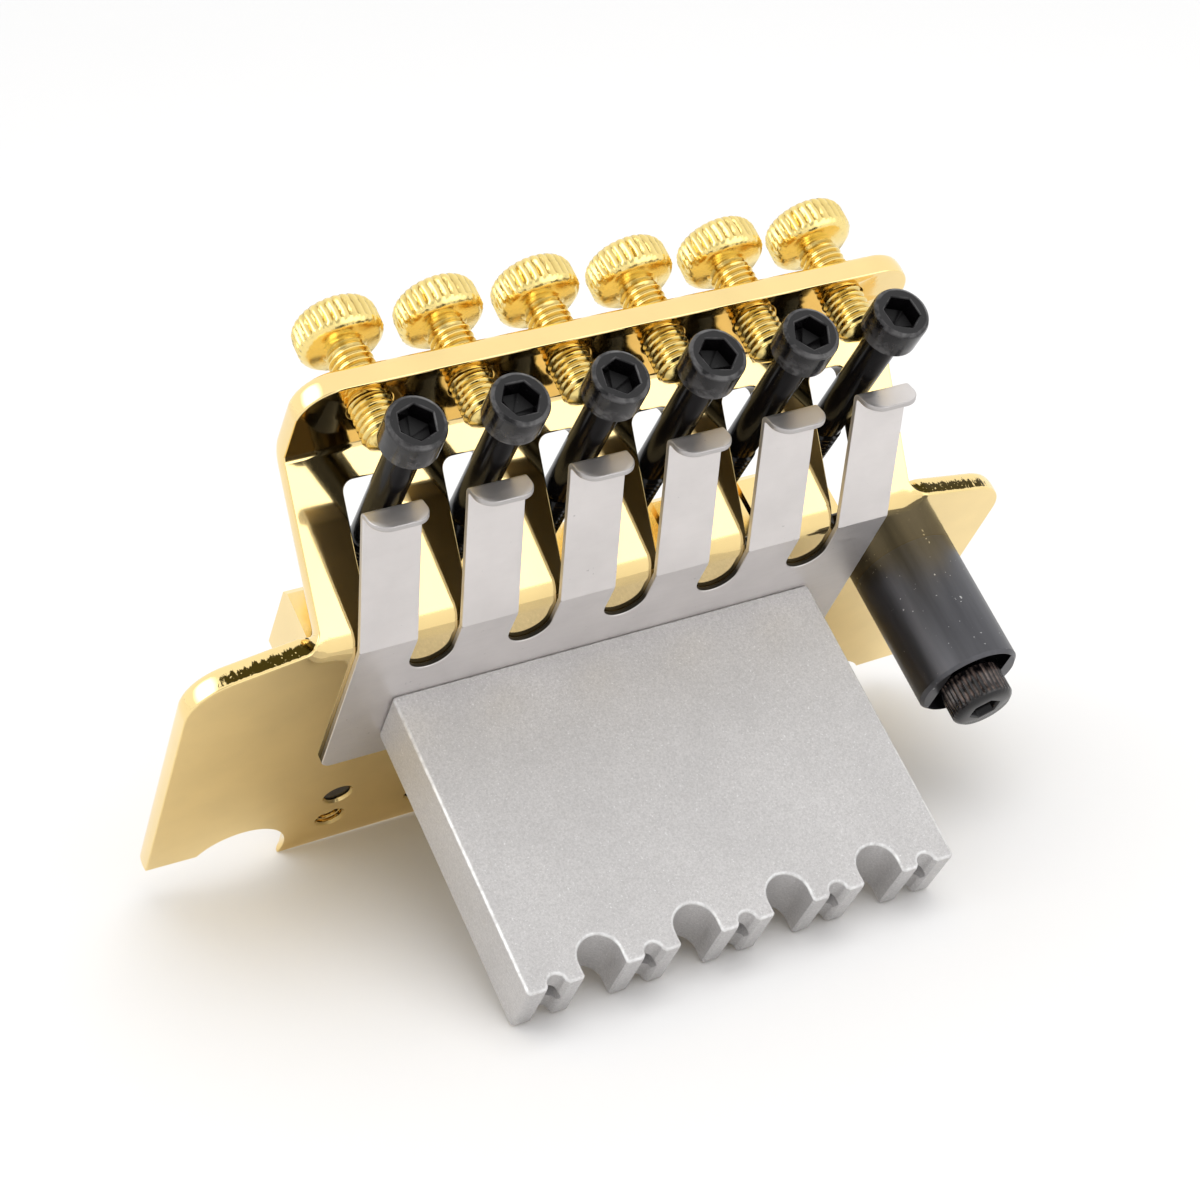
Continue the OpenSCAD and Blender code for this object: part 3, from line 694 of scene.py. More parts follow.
def plate_loops(path):
    """Outline and holes of the plate rolled flat, with y = 0 on the knife line and the tail at -y."""
    size = sizes()
    t = size.plate_thickness / MM
    top = size.plate_rollover / MM
    low = size.plate_burr / MM
    wall = rounded_wall(t, low, top, between=WALL_HEIGHTS, crown=WALL_CROWN)
    arc_x = HALF_W - WING_CORNER
    arc_y = WING_REAR + (arc_x - HALF_TAIL) * tan(WING_SLOPE) + WING_CORNER / cos(WING_SLOPE)
    end = -path.length
    right = []
    knife_from = atan2(FRONT_REACH - KNIFE_R, -(KNIFE_R ** 2 - (FRONT_REACH - KNIFE_R) ** 2) ** 0.5)
    knife_to = atan2(WING_FRONT - KNIFE_R, (KNIFE_R ** 2 - (WING_FRONT - KNIFE_R) ** 2) ** 0.5)
    right += arc(HALF_TAIL - SHELF_CORNER, end + SHELF_CORNER, SHELF_CORNER, -90, 0, 24)
    fillet_y = WING_REAR + FILLET_R * tan(WING_SLOPE) - FILLET_R / cos(WING_SLOPE)
    right += arc(HALF_TAIL + FILLET_R, fillet_y, FILLET_R, 180, 90 + np.degrees(WING_SLOPE), 8)
    right += arc(arc_x, arc_y, WING_CORNER, -90 + np.degrees(WING_SLOPE), 0, 26)
    right += [(HALF_W, WING_MIDDLE), (HALF_W, WING_FRONT)]
    knife = arc(HALF_STUD, KNIFE_R, KNIFE_R, np.degrees(knife_to), np.degrees(knife_from) - 360, 30)
    right += knife + [(FRONT_MIDDLE, FRONT_REACH)]
    outline = tidy_loop(right + [(-x, y) for x, y in reversed(right)])
    # The knife edges are cut back towards the upper face instead of rounded
    off_middle = np.abs(outline[:, 0])
    from_stud = np.hypot(off_middle - HALF_STUD, outline[:, 1] - KNIFE_R)
    knife_share = (from_stud < KNIFE_R + 0.02).astype(float)
    knife_wall = [(KNIFE_CUT * max(0.0, h - KNIFE_LAND) / (t - KNIFE_LAND), h) for _, h in wall]
    mixed = [(i * (1 - knife_share) + k * knife_share, h) for (i, h), (k, _) in zip(wall, knife_wall)]
    on_rear = (off_middle > HALF_TAIL + 0.5) & (outline[:, 1] < -20)
    rear = on_rear * np.clip((arc_x + TORN_PAST_ARC - off_middle) / TORN_FADE, 0, 1)
    loops = [(outline, mixed, 0.0, rear)]
    for i in STRINGS:
        x = string_x(i)
        half = SLOT_W / 2
        low_y = SLOT_END - half
        top_y = -path.slot_top
        corner = SLOT_CORNER
        hole = arc(x, low_y, half, 0, 180, 18)
        hole += arc(x - half + corner, top_y + corner, corner, 180, 270, 6)
        hole += arc(x + half - corner, top_y + corner, corner, 270, 360, 6)
        # Each hole's last entry is how much painted shade darkens its wall
        loops.append((hole[::-1], rounded_wall(t, low, 0.5, 4), 1.0))
        loops.append((hole_loop(x, -path.tuner, TUNER_HOLE_R, 32), rounded_wall(t, 0.25, 0.25, 2), 0.6))
        for y in SADDLE_HOLE_ROWS:
            loops.append((hole_loop(x, y, SADDLE_HOLE_R, 28), tapped_wall(t), 0.2))
    countersink = [(0, 0), (0, COUNTERSINK_LAND), (COUNTERSINK_INSET, t)]
    for k in (-1, 0, 1):
        x = BLOCK_SCREW_PITCH * k
        loops.append((hole_loop(x, BLOCK_SCREW_Y, COUNTERSINK_R, 32), countersink, 0.3))
    loops.append((hole_loop(*ARM_AT, ARM_HOLE_R, 40), rounded_wall(t, 0.12, 0.2, 2), 0.5))
    return loops


def tapped_wall(thickness):
    """A tapped hole's wall: a countersink below and grooves above it."""
    wall = [(TAP_LEAD, 0), (0.0, TAP_LEAD)]
    rim = 0.2
    turns = int((thickness - 0.6) / TAP_PITCH)
    for k in range(turns):
        low = TAP_LEAD + TAP_PITCH * k
        wall += [(TAP_DEPTH, low + 0.2), (TAP_DEPTH, low + 0.3), (0.0, low + TAP_PITCH)]
    return wall + [(0.0, thickness - rim), (rim, thickness)]


def smooth(share):
    """Eases a share between 0 and 1 in and out."""
    share = min(1.0, max(0.0, share))
    return share * share * (3 - 2 * share)


def drawn_share(x, s):
    """How flat the sheet stays beside the bend, where the wing runs into the upturned tail."""
    across = smooth((x - HALF_TAIL + DRAWN / 3) / DRAWN)
    along = smooth((s + BEND_Y) / DRAWN)
    return across ** (1 + 3 * along)


def make_plate():
    """The plate as a flat sheet, then bent along its path beyond the first straight."""
    size = sizes()
    path = plate_path()
    bm = sheet(plate_loops(path), size.plate_thickness / MM)
    cut_across(bm, [-s for s in path.cuts[:-1]])
    cut_across(bm, [side * (HALF_TAIL + (k - 2) * DRAWN / 6) for side in (-1, 1) for k in range(7)], axis=0)
    flat_from = path.parts[0][1]
    for v in bm.verts:
        if v.co.y < -flat_from:
            y, z = path.point(-v.co.y, v.co.z)
            flat = drawn_share(abs(v.co.x), -v.co.y)
            v.co.y = y + (v.co.y - y) * flat
            v.co.z = z + (v.co.z - z) * flat
    gold = finish_of("Gold plating", gold_plating)
    return finish_mesh(bm, "bent_plate", gold, "base", ["base_plate"], sharp=38)


def turned_grid(bm, radii, heights, columns, radius_at=None):
    """Rows of a turned form: radii and heights in millimetres, closed round."""
    rows = []
    for k, (r, z) in enumerate(zip(radii, heights)):
        row = []
        for j in range(columns):
            a = 2 * pi * j / columns
            rr = radius_at(k, j, r, a) if radius_at else r
            row.append(bm.verts.new((rr * cos(a), rr * sin(a), z)))
        rows.append(row)
    skin_rows(bm, rows)
    return rows


def cap_row(bm, row, depth=0.0):
    """Closes a row with a fan round its middle."""
    middle = bm.verts.new(sum((v.co for v in row), Vector()) / len(row) + Vector((0, 0, depth)))
    for j, v in enumerate(row):
        bm.faces.new((v, row[(j + 1) % len(row)], middle))


def helical_rod(bm, crest, root, low, high, pitch, columns=ROD_COLUMNS, layer=None):
    """A screw thread from z = low to z = high whose rows follow the helix."""
    per_turn = 6
    shape = (0.0, 0.0, 0.5, 1.0, 1.0, 0.5)
    rows = per_turn * (ceil((high - low) / pitch) + 2)
    runout = 0.6 * pitch
    ring = {}
    for k in range(rows + per_turn + 1):
        for j in range(columns):
            z = low - pitch + pitch * (k / per_turn + j / columns)
            share = shape[k % per_turn]
            held = min(max(z, low), high)
            fade = max(0.0, min(1.0, (z - low) / runout, (high - z) / runout))
            r = root + (crest - root) * share * fade
            a = 2 * pi * j / columns
            v = bm.verts.new((r * cos(a), r * sin(a), held))
            # The layer takes painted shade, full in the thread's root
            if layer is not None:
                v[layer] = 1.0 - share * fade
            ring[k, j] = v
    for k in range(rows):
        for j in range(columns):
            n = (k, j + 1) if j + 1 < columns else (k + per_turn, 0)
            m = (k + 1, j + 1) if j + 1 < columns else (k + 1 + per_turn, 0)
            if m in ring:
                bm.faces.new((ring[k, j], ring[n], ring[m], ring[k + 1, j]))


def knurled_form(bm, radius, height, teeth, depth, chamfer, layer=None, slant=0.0, crown=0.7):
    """A knurled head from z = 0 upwards: plain chamfer below, teeth up the side and over the crown."""
    per_tooth = 6
    columns = teeth * per_tooth
    groove = (1.0, 0.55, 0.12, 0.0, 0.12, 0.55)
    side_from = chamfer + 0.25
    side_top = height - crown
    # Radius, height and share of the groove's depth, row by row
    profile = [(radius - chamfer, 0.0, 0.0), (radius - 0.30 * chamfer, 0.55 * chamfer, 0.0),
               (radius, chamfer, 0.25), (radius, side_from, 1.0)]
    profile += [(radius, side_from + (side_top - chamfer - 0.25) * k / 3, 1.0) for k in (1, 2, 3)]
    steps = 5
    for k in range(1, steps + 1):
        a = pi / 2 * k / steps
        fading = max(0.0, 1.0 - 0.85 * k / steps)
        profile.append((radius - crown * (1 - cos(a)), side_top + crown * sin(a), fading))
    profile.append((radius - crown - 0.5, height, 0.0))

    def radius_at(k, j, r, _):
        share = groove[int(j + slant * k) % per_tooth]
        uneven = 0.8 + 0.4 * (sin(12.9 * (j // per_tooth) + 7.3) * 43.7 % 1.0)
        return r - depth * profile[k][2] * share * uneven

    rows = turned_grid(bm, [p[0] for p in profile], [p[1] for p in profile], columns, radius_at)
    # The layer takes each groove's depth: painted shade on the fine tuners, brown bare steel on the tension
    # screw
    if layer is not None:
        for k, row in enumerate(rows):
            for j, v in enumerate(row):
                v[layer] = groove[int(j + slant * k) % per_tooth] * profile[k][2]
    return rows


def tuner_frame(i):
    """Where a fine tuner's axis crosses the shelf, with z up the screw."""
    return Matrix.Translation((string_x(i), TUNER_Y, TUNER_Z)) @ Matrix.Rotation(LEAN, 4, "X")


def lock_frame(i):
    """A lock screw's face, with z along the screw."""
    return Matrix.Translation((string_x(i), LOCK_Y, LOCK_Z)) @ Matrix.Rotation(LOCK_SLOPE - pi / 2, 4, "X")


def make_fine_tuner(i):
    """A fine tuner: a nosed thread, a plain neck and a knurled head."""
    size = sizes()
    bm = bmesh.new()
    # Painted shade in the thread's roots
    shade_level = bm.verts.layers.float.new("painted_shade")
    low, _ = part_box(f"fine_tuner_{i}")
    tip = -((TUNER_Z - low.z / MM) / cos(LEAN))
    pitch = size.thread_pitch / MM
    root = TUNER_CREST_R - TUNER_THREAD_DEPTH
    thread_from = tip + TUNER_NOSE
    thread_to = TUNER_HEAD_FROM - TUNER_NECK
    helical_rod(bm, TUNER_CREST_R, root, thread_from, thread_to, pitch, layer=shade_level)
    nose_heights = [tip + 0.12, tip + 0.2, thread_from - 0.1, thread_from]
    rows = turned_grid(bm, [0.55, 0.8, root - 0.12, root], nose_heights, ROD_COLUMNS)
    cap_row(bm, rows[0])
    neck_heights = [thread_to, TUNER_HEAD_FROM - 0.15, TUNER_HEAD_FROM]
    turned_grid(bm, [root, root + 0.05, TUNER_CREST_R + 0.1], neck_heights, ROD_COLUMNS)
    head = bmesh.new()
    # Painted shade in the knurl's grooves
    layer = head.verts.layers.float.new("painted_shade")
    rows = knurled_form(head, size.tuner_head / 2 / MM, TUNER_HEAD_H, size.tuner_teeth, depth=0.36,
                        chamfer=0.85, layer=layer, slant=0.35, crown=1.25)
    cap_row(head, rows[-1])
    cap_row(head, rows[0])
    bmesh.ops.transform(head, verts=head.verts, matrix=Matrix.Translation((0, 0, TUNER_HEAD_FROM)))
    mesh = bpy.data.meshes.new("tuner_head")
    head.to_mesh(mesh)
    head.free()
    bm.from_mesh(mesh)
    bpy.data.meshes.remove(mesh)
    turn = Matrix.Rotation(radians(TUNER_TURN * i), 4, "Z")
    gold = finish_of("Machined gold", machined_gold)
    return finish_mesh(bm, f"tuner_screw_{i}", gold, f"tuner_{i}", [f"fine_tuner_{i}"],
                       sharp=50, matrix=tuner_frame(i) @ turn)


def socket_radius(across, angle):
    """Distance from the middle to a hexagon's side at an angle."""
    sixth = pi / 3
    return across / 2 / cos((angle + sixth / 2) % sixth - sixth / 2)


def socket_rows(bm, columns, across, steps):
    """Rows of a hexagon socket: how far each stands out from the socket's sides, and its height."""
    rows = []
    for grow, z in steps:
        row = []
        for j in range(columns):
            a = 2 * pi * j / columns
            r = socket_radius(across, a) + grow
            row.append(bm.verts.new((r * cos(a), r * sin(a), z)))
        rows.append(row)
    return rows


def socket_head(bm, radius, height, across, depth, bevel, layer, shade, columns=72):
    """A cap screw's head with its face at z = 0, bevelled edges and a hexagon socket."""
    outside = [(radius - 0.25, height), (radius, height - 0.25), (radius, bevel * 1.1),
               (radius - 0.12, bevel * 0.45), (radius - bevel, 0.0), (radius - bevel - FACE_RUB, 0.0)]
    rows = turned_grid(bm, [r for r, _ in outside], [z for _, z in outside], columns)
    for k in (1, 3, 4):
        for v in rows[k]:
            v[layer] = 1.0
    lead = 0.14
    steps = ((lead + FACE_RUB, 0.0), (lead, 0.0), (0.0, lead), (0.0, depth))
    inner = socket_rows(bm, columns, across, steps)
    for v in inner[1]:
        v[layer] = 0.8
    # Painted shade on the socket's walls
    for v in inner[2] + inner[3]:
        v[shade] = 1.0
    skin_rows(bm, [rows[-1]] + inner)
    cap_row(bm, inner[-1], 0.75)
    return rows[0]


def make_lock_screw(i):
    """A lock screw: socket head, plain shank and a short thread at the far end."""
    size = sizes()
    bm = bmesh.new()
    worn = bm.verts.layers.float.new("worn_edge")
    shade = bm.verts.layers.float.new("painted_shade")
    neck = socket_head(bm, size.lock_head / 2 / MM, LOCK_HEAD, LOCK_SOCKET, LOCK_SOCKET_DEPTH, LOCK_BEVEL,
                       worn, shade)
    radii = [LOCK_SHANK_R + 0.25, LOCK_SHANK_R, LOCK_SHANK_R, LOCK_ROOT_R]
    heights = [LOCK_HEAD, LOCK_HEAD + LOCK_CHAMFER, LOCK_THREAD_FROM - LOCK_CHAMFER, LOCK_THREAD_FROM]
    rows = turned_grid(bm, radii, heights, len(neck))
    skin_rows(bm, [neck, rows[0]])
    # Painted shade along the shank
    for v in [v for row in rows for v in row]:
        v[shade] = 0.85
    high = LOCK_END - LOCK_CHAMFER
    columns = 36
    helical_rod(bm, LOCK_CREST_R, LOCK_ROOT_R, LOCK_THREAD_FROM, high, LOCK_PITCH, columns)
    end = turned_grid(bm, [LOCK_ROOT_R, LOCK_ROOT_R - 0.22], [high, LOCK_END], columns)
    cap_row(bm, end[-1])
    turn = Matrix.Rotation(radians(LOCK_TURNS[i - 1]), 4, "Z")
    oxide = finish_of("Black oxide", black_oxide)
    return finish_mesh(bm, f"lock_bolt_{i}", oxide, f"lock_{i}", [f"lock_screw_{i}"],
                       sharp=32, matrix=lock_frame(i) @ turn)


def measured_finger():
    """Rise and length of a leaf finger whose crest lies just below the lock screw's shank."""
    shank_z = LOCK_Z + (CREST_Y - LOCK_Y) * tan(LOCK_SLOPE)
    crest_top = shank_z - LOCK_SHANK_R / cos(LOCK_SLOPE) - CREST_GAP
    rise = atan((crest_top - FINGER_TIP_R - FINGER_ROOT[1]) / (FINGER_ROOT[0] - CREST_Y))
    length = (FINGER_ROOT[0] - CREST_Y) / cos(rise)
    return rise, length


FINGER_SHAPE = measured_finger()


def root_flush(points, away, shade_level):
    """A leaf outline whose rounding and painted wall shade are left out where it meets its neighbour."""
    edge = sizes().leaf_edge / MM
    share = away.astype(float)
    return points, [(inset * share, h) for inset, h in rounded_wall(LEAF_T, edge, edge, 3)], shade_level * share


def make_finger(i):
    """A leaf finger: inclined sheet, tight roll under the lock screw and a rounded lip."""
    rise, length = FINGER_SHAPE
    edge = sizes().leaf_edge / MM
    half = FINGER_W / 2
    low_r = FINGER_TIP_R
    turn = rise + LIP_ANGLE
    arc_len = low_r * turn
    total = length + arc_len + LIP_L
    loop = [(-half, 0.0), (-half, -(length + arc_len))]
    loop += arc(-half + LIP_CORNER, -(total - LIP_CORNER), LIP_CORNER, 180, 270, 8)
    loop += arc(half - LIP_CORNER, -(total - LIP_CORNER), LIP_CORNER, 270, 360, 8)
    loop += [(half, -(length + arc_len)), (half, 0.0)]
    loop = tidy_loop(loop)
    # The finger's walls take a little painted shade
    bm = sheet([root_flush(loop, loop[:, 1] < -0.01, 0.3)], LEAF_T)
    cuts = [length * 0.9] + [length + arc_len * k / 8 for k in range(9)]
    cut_across(bm, [-c for c in cuts])
    root_y, root_z = FINGER_ROOT
    # Painted shade on the finger's upper face, up to its roll
    painted_shade = bm.verts.layers.float["painted_shade"]
    back_shade_to = length * 0.92
    for v in bm.verts:
        s = -v.co.y
        if v.co.z > LEAF_T - 1e-4 and s < back_shade_to:
            v[painted_shade] = PAINTED_BACK_SHADE
        n = v.co.z - LEAF_T / 2
        a = rise
        y = root_y - min(s, length) * cos(rise)
        z = root_z + min(s, length) * sin(rise)
        if s > length:
            swept = min(s - length, arc_len) / low_r
            a = rise - swept
            radial = low_r - LEAF_T / 2
            y += radial * (sin(a) - sin(rise))
            z += radial * (cos(a) - cos(rise))
            if s > length + arc_len:
                extra = s - length - arc_len
                y -= extra * cos(a)
                z += extra * sin(a)
        v.co.y = y + n * sin(a)
        v.co.z = z + n * cos(a)
        v.co.x += finger_x(i)
    leaf_verts = set(bm.verts)
    knuckle = turned_grid(bm, [LEAF_T / 2] * 2, [edge - half, half - edge], 24)
    cap_row(bm, knuckle[0])
    cap_row(bm, knuckle[1])
    place = Matrix.Translation((finger_x(i), root_y, root_z)) @ Matrix.Rotation(pi / 2, 4, "Y")
    bmesh.ops.transform(bm, verts=[v for v in bm.verts if v not in leaf_verts], matrix=place)
    leaf = finish_of("Spring leaf", spring_leaf)
    return finish_mesh(bm, f"leaf_finger_{i}", leaf, f"finger_{i}", [f"spring_finger_{i}"],
                       sharp=40)


def make_comb():
    """The leaf spring's comb: a flat sheet with rounded notches between the fingers' roots."""
    half = FINGER_W / 2
    gap = (FINGER_PITCH - FINGER_W) / 2
    left, right = finger_x(1) - half, finger_x(6) + half
    root = FINGER_ROOT[0]
    corner = COMB_CORNER
    outline = arc(right - corner, COMB_FRONT - corner, corner, 0, 90, 8)
    outline += arc(left + corner, COMB_FRONT - corner, corner, 90, 180, 8)
    outline += [(left, root)]
    for i in STRINGS[:-1]:
        x = finger_x(i) + FINGER_PITCH / 2
        outline += [(x - gap, root)] + arc(x, COMB_NOTCH - gap, gap, 180, 0, 20) + [(x + gap, root)]
    outline += [(right, root)]
    outline = tidy_loop(outline)
    # Painted shadow: the comb's walls go near black, the walls of its holes half as dark
    loops = [root_flush(outline, outline[:, 1] > root + 0.01, 1.0)]
    for k in (-1, 0, 1):
        hole = hole_loop(BLOCK_SCREW_PITCH * k, BLOCK_SCREW_Y, COMB_HOLE_R, 24)
        loops.append((hole, rounded_wall(LEAF_T, 0.05, 0.05, 1), 0.5))
    bm = sheet(loops, LEAF_T)
    bmesh.ops.translate(bm, verts=bm.verts, vec=(0, 0, -LEAF_T))
    leaf = finish_of("Spring leaf", spring_leaf)
    return finish_mesh(bm, "leaf_comb", leaf, "base", ["spring_comb"], sharp=40)


def make_block():
    """The cast block: notches and grooves in its foot, and five blind holes for the springs."""
    edge = sizes().block_edge / MM
    half = BLOCK_W / 2
    corner = BLOCK_CORNER
    hook_z = BLOCK_FOOT + HOOK_FLARE
    notch_z = BLOCK_FOOT + NOTCH_FLARE
    foot = []
    for k in range(5):
        x = (k - 2) * HOOK_PITCH
        foot += [(x - HOOK_R - HOOK_FLARE, BLOCK_FOOT), (x - HOOK_R, hook_z)]
        foot += arc(x, hook_z, HOOK_R, 180, 0, 10)[1:-1]
        foot += [(x + HOOK_R, hook_z), (x + HOOK_R + HOOK_FLARE, BLOCK_FOOT)]
        if k < 4:
            x = (k - 1.5) * NOTCH_PITCH
            foot += [(x - NOTCH_R - NOTCH_FLARE, BLOCK_FOOT), (x - NOTCH_R, notch_z)]
            foot += arc(x, BLOCK_FOOT + NOTCH_DEPTH - NOTCH_R, NOTCH_R, 180, 0, 18)
            foot += [(x + NOTCH_R, notch_z), (x + NOTCH_R + NOTCH_FLARE, BLOCK_FOOT)]
    outline = arc(-half + corner, BLOCK_FOOT + corner, corner, 180, 270, 3) + foot
    outline += arc(half - corner, BLOCK_FOOT + corner, corner, 270, 360, 3)
    outline += arc(half - corner, BLOCK_TOP - corner, corner, 0, 90, 3)
    outline += arc(-half + corner, BLOCK_TOP - corner, corner, 90, 180, 3)
    bm = sheet([(outline, rounded_wall(BLOCK_T, edge, edge, 3), 0.0)], BLOCK_T)
    cut_across(bm, [-6 * k for k in range(1, 6)])
    cut_across(bm, [-24 + 6 * k for k in range(9)], axis=0)
    stand = Matrix(((1, 0, 0, 0), (0, 0, 1, BLOCK_TAIL), (0, 1, 0, 0), (0, 0, 0, 1)))
    bmesh.ops.transform(bm, verts=bm.verts, matrix=stand)
    zinc = finish_of("Blasted zinc", blasted_zinc)
    block = finish_mesh(bm, "cast_block", zinc, "base", ["sustain_block"], sharp=42)
    drill = bmesh.new()
    for k in range(5):
        heights = [BLOCK_FOOT - 1, BLOCK_FOOT + SPRING_HOLE_DEPTH]
        rows = turned_grid(drill, [SPRING_HOLE_R, SPRING_HOLE_R], heights, 24)
        around = [v for row in rows for v in row]
        cap_row(drill, rows[0])
        cap_row(drill, rows[1], DRILL_POINT)
        bmesh.ops.translate(drill, verts=around, vec=((k - 2) * HOOK_PITCH, BLOCK_TAIL + BLOCK_T / 2, 0))
    subtract(block, drill)
    return block


def subtract(piece, bm):
    """Cuts a closed bmesh in millimetres out of a piece."""
    bmesh.ops.remove_doubles(bm, verts=bm.verts, dist=1e-5)
    bmesh.ops.recalc_face_normals(bm, faces=bm.faces)
    mesh = bpy.data.meshes.new("cutter")
    bm.to_mesh(mesh)
    bm.free()
    mesh.transform(Matrix.Scale(MM, 4))
    cutter = bpy.data.objects.new("cutter", mesh)
    bpy.context.scene.collection.objects.link(cutter)
    cut = piece.modifiers.new("Cut", "BOOLEAN")
    cut.operation = "DIFFERENCE"
    cut.solver = "EXACT"
    cut.object = cutter
    piece.modifiers.move(len(piece.modifiers) - 1, 0)
    bpy.context.view_layer.update()
    evaluated = piece.evaluated_get(bpy.context.evaluated_depsgraph_get())
    made = bpy.data.meshes.new_from_object(evaluated)
    piece.modifiers.remove(cut)
    old = piece.data
    made.name = old.name
    piece.data = made
    bpy.data.meshes.remove(old)
    bpy.data.objects.remove(cutter)


def make_tension_screw():
    """The tension screw: a knurled head with a socket in its lower face, and a plain shank."""
    bm = bmesh.new()
    worn = bm.verts.layers.float.new("worn_edge")
    low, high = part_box("arm_tension_screw")
    rows = knurled_form(bm, TENSION_R, TENSION_HEAD_H, TENSION_TEETH, depth=0.22, chamfer=0.55, layer=worn,
                        crown=0.35)
    cap_row(bm, rows[-1])
    lead = 0.18
    steps = ((lead, 0.0), (0.0, lead), (0.0, TENSION_SOCKET_DEPTH))
    inner = socket_rows(bm, len(rows[0]), TENSION_SOCKET, steps)
    skin_rows(bm, [rows[0]] + inner)
    cap_row(bm, inner[-1], 0.6)
    shank_heights = [TENSION_HEAD_H - 0.1, (high.z - low.z) / MM]
    shank = turned_grid(bm, [TENSION_SHANK_R, TENSION_SHANK_R], shank_heights, 36)
    cap_row(bm, shank[0])
    cap_row(bm, shank[1])
    middle = (low + high) / 2 / MM
    place = Matrix.Translation((middle.x, middle.y, low.z / MM))
    oxide = finish_of("Worn oxide", black_oxide, worn=0.9, bare=BROWNED_STEEL)
    return finish_mesh(bm, "tension_bolt", oxide, "arm_tension", ["arm_tension_screw"],
                       sharp=45, matrix=place)


class BRIDGE_OT_plate(bpy.types.Operator):
    """Makes the bent gold plate with its rolled edges"""
    bl_idname = "bridge.plate"
    bl_label = "Plate"

    def execute(self, context):
        make_plate()
        return {"FINISHED"}


class BRIDGE_OT_block(bpy.types.Operator):
    """Makes the cast sustain block and finishes its screws"""
    bl_idname = "bridge.block"
    bl_label = "Sustain block"

    def execute(self, context):
        make_block()
        dress("block_screws", finish_of("Black oxide", black_oxide))
        return {"FINISHED"}


class BRIDGE_OT_leaf_spring(bpy.types.Operator):
    """Makes the leaf spring's comb and its six fingers"""
    bl_idname = "bridge.leaf_spring"
    bl_label = "Leaf spring"

    def execute(self, context):
        make_comb()
        for i in STRINGS:
            make_finger(i)
        return {"FINISHED"}


class BRIDGE_OT_tuners(bpy.types.Operator):
    """Makes the knurled fine tuner screws"""
    bl_idname = "bridge.tuners"
    bl_label = "Fine tuners"

    def execute(self, context):
        for i in STRINGS:
            make_fine_tuner(i)
        return {"FINISHED"}


class BRIDGE_OT_locks(bpy.types.Operator):
    """Makes the string lock screws"""
    bl_idname = "bridge.locks"
    bl_label = "Lock screws"

    def execute(self, context):
        for i in STRINGS:
            make_lock_screw(i)
        return {"FINISHED"}


class BRIDGE_OT_saddles(bpy.types.Operator):
    """Finishes the saddles, their pins, clamp blocks and screws"""
    bl_idname = "bridge.saddles"
    bl_label = "Saddles"

    def execute(self, context):
        gold = finish_of("Saddle plating", gold_plating, ripple=0.2, rough=0.12)
        steel = finish_of("Ground steel", ground_steel)
        for i in STRINGS:
            dress(f"saddle_base_{i}", gold)
            dress(f"string_holder_{i}", gold)
            dress(f"saddle_pin_{i}", steel)
            dress(f"clamp_block_{i}", steel)
        dress("saddle_screws", finish_of("Black oxide", black_oxide))
        return {"FINISHED"}


class BRIDGE_OT_arm_socket(bpy.types.Operator):
    """Finishes the arm sleeve and its nut, and makes the tension screw"""
    bl_idname = "bridge.arm_socket"
    bl_label = "Arm socket"

    def execute(self, context):
        satin = finish_of("Satin sleeve", satin_sleeve)
        dress("arm_sleeve", satin)
        dress("arm_nut", satin)
        make_tension_screw()
        return {"FINISHED"}


# Studio, in millimetres, in the frame of the solids
CAMERA_AT = (-119.67, -256.41, -111.62)
CAMERA_FORWARD = (0.42206, 0.81188, 0.40339)
CAMERA_RIGHT = (0.87623, -0.25120, -0.41123)
CAMERA_DOWN = (-0.23254, 0.52703, -0.81741)
CAMERA_FOCAL = 2717.0
PHOTO_WIDTH = 1200.0
FLOOR_POINT = (0.0, 7.7, 0.0)
FLOOR_LINE = (0.0, 23.9, 35.0)
FLOOR_MIDDLE = (0.0, -5.0, -16.0)
# In metres: the gap below the part, the floor's radius and where it starts to fade
FLOOR_GAP = 0.00005
FLOOR_RADIUS = 0.6
FLOOR_FADE_FROM = 0.16
# What the lamps point at, in metres
LAMP_TARGET = (0, -0.025, -0.008)
# Surroundings: brightness behind the object, for soft light, and for metal beside the camera
BACKDROP_LEVEL = 0.975
FILL_LEVEL = 0.93
TENT_LEVEL = 1.12
LENS_SHADE = 0.62
# Bright patches that metal mirrors: direction, cosines at the rim and the core, added level
GLOWS = (
    ((0.42, -0.64, -0.645), 0.83, 0.98, 1.0),
    ((-0.79, -0.40, 0.40), 0.86, 0.99, 2.6),
)


def floor_up():
    """The floor's upward direction, square to the line that it follows."""
    along = Vector(FLOOR_LINE).normalized()
    return Vector((0, -along.z, along.y))


def make_camera():
    """The camera of the photo, from the fit of its measured points."""
    data = bpy.data.cameras.new("Camera")
    data.sensor_width = 36.0
    data.lens = CAMERA_FOCAL / PHOTO_WIDTH * data.sensor_width
    data.clip_start = 0.01
    data.clip_end = 20.0
    camera = bpy.data.objects.new("Camera", data)
    turn = Matrix((CAMERA_RIGHT, [-v for v in CAMERA_DOWN], [-v for v in CAMERA_FORWARD])).transposed()
    camera.matrix_world = Matrix.Translation(Vector(CAMERA_AT) * MM) @ turn.to_4x4()
    bpy.context.scene.collection.objects.link(camera)
    bpy.context.scene.camera = camera


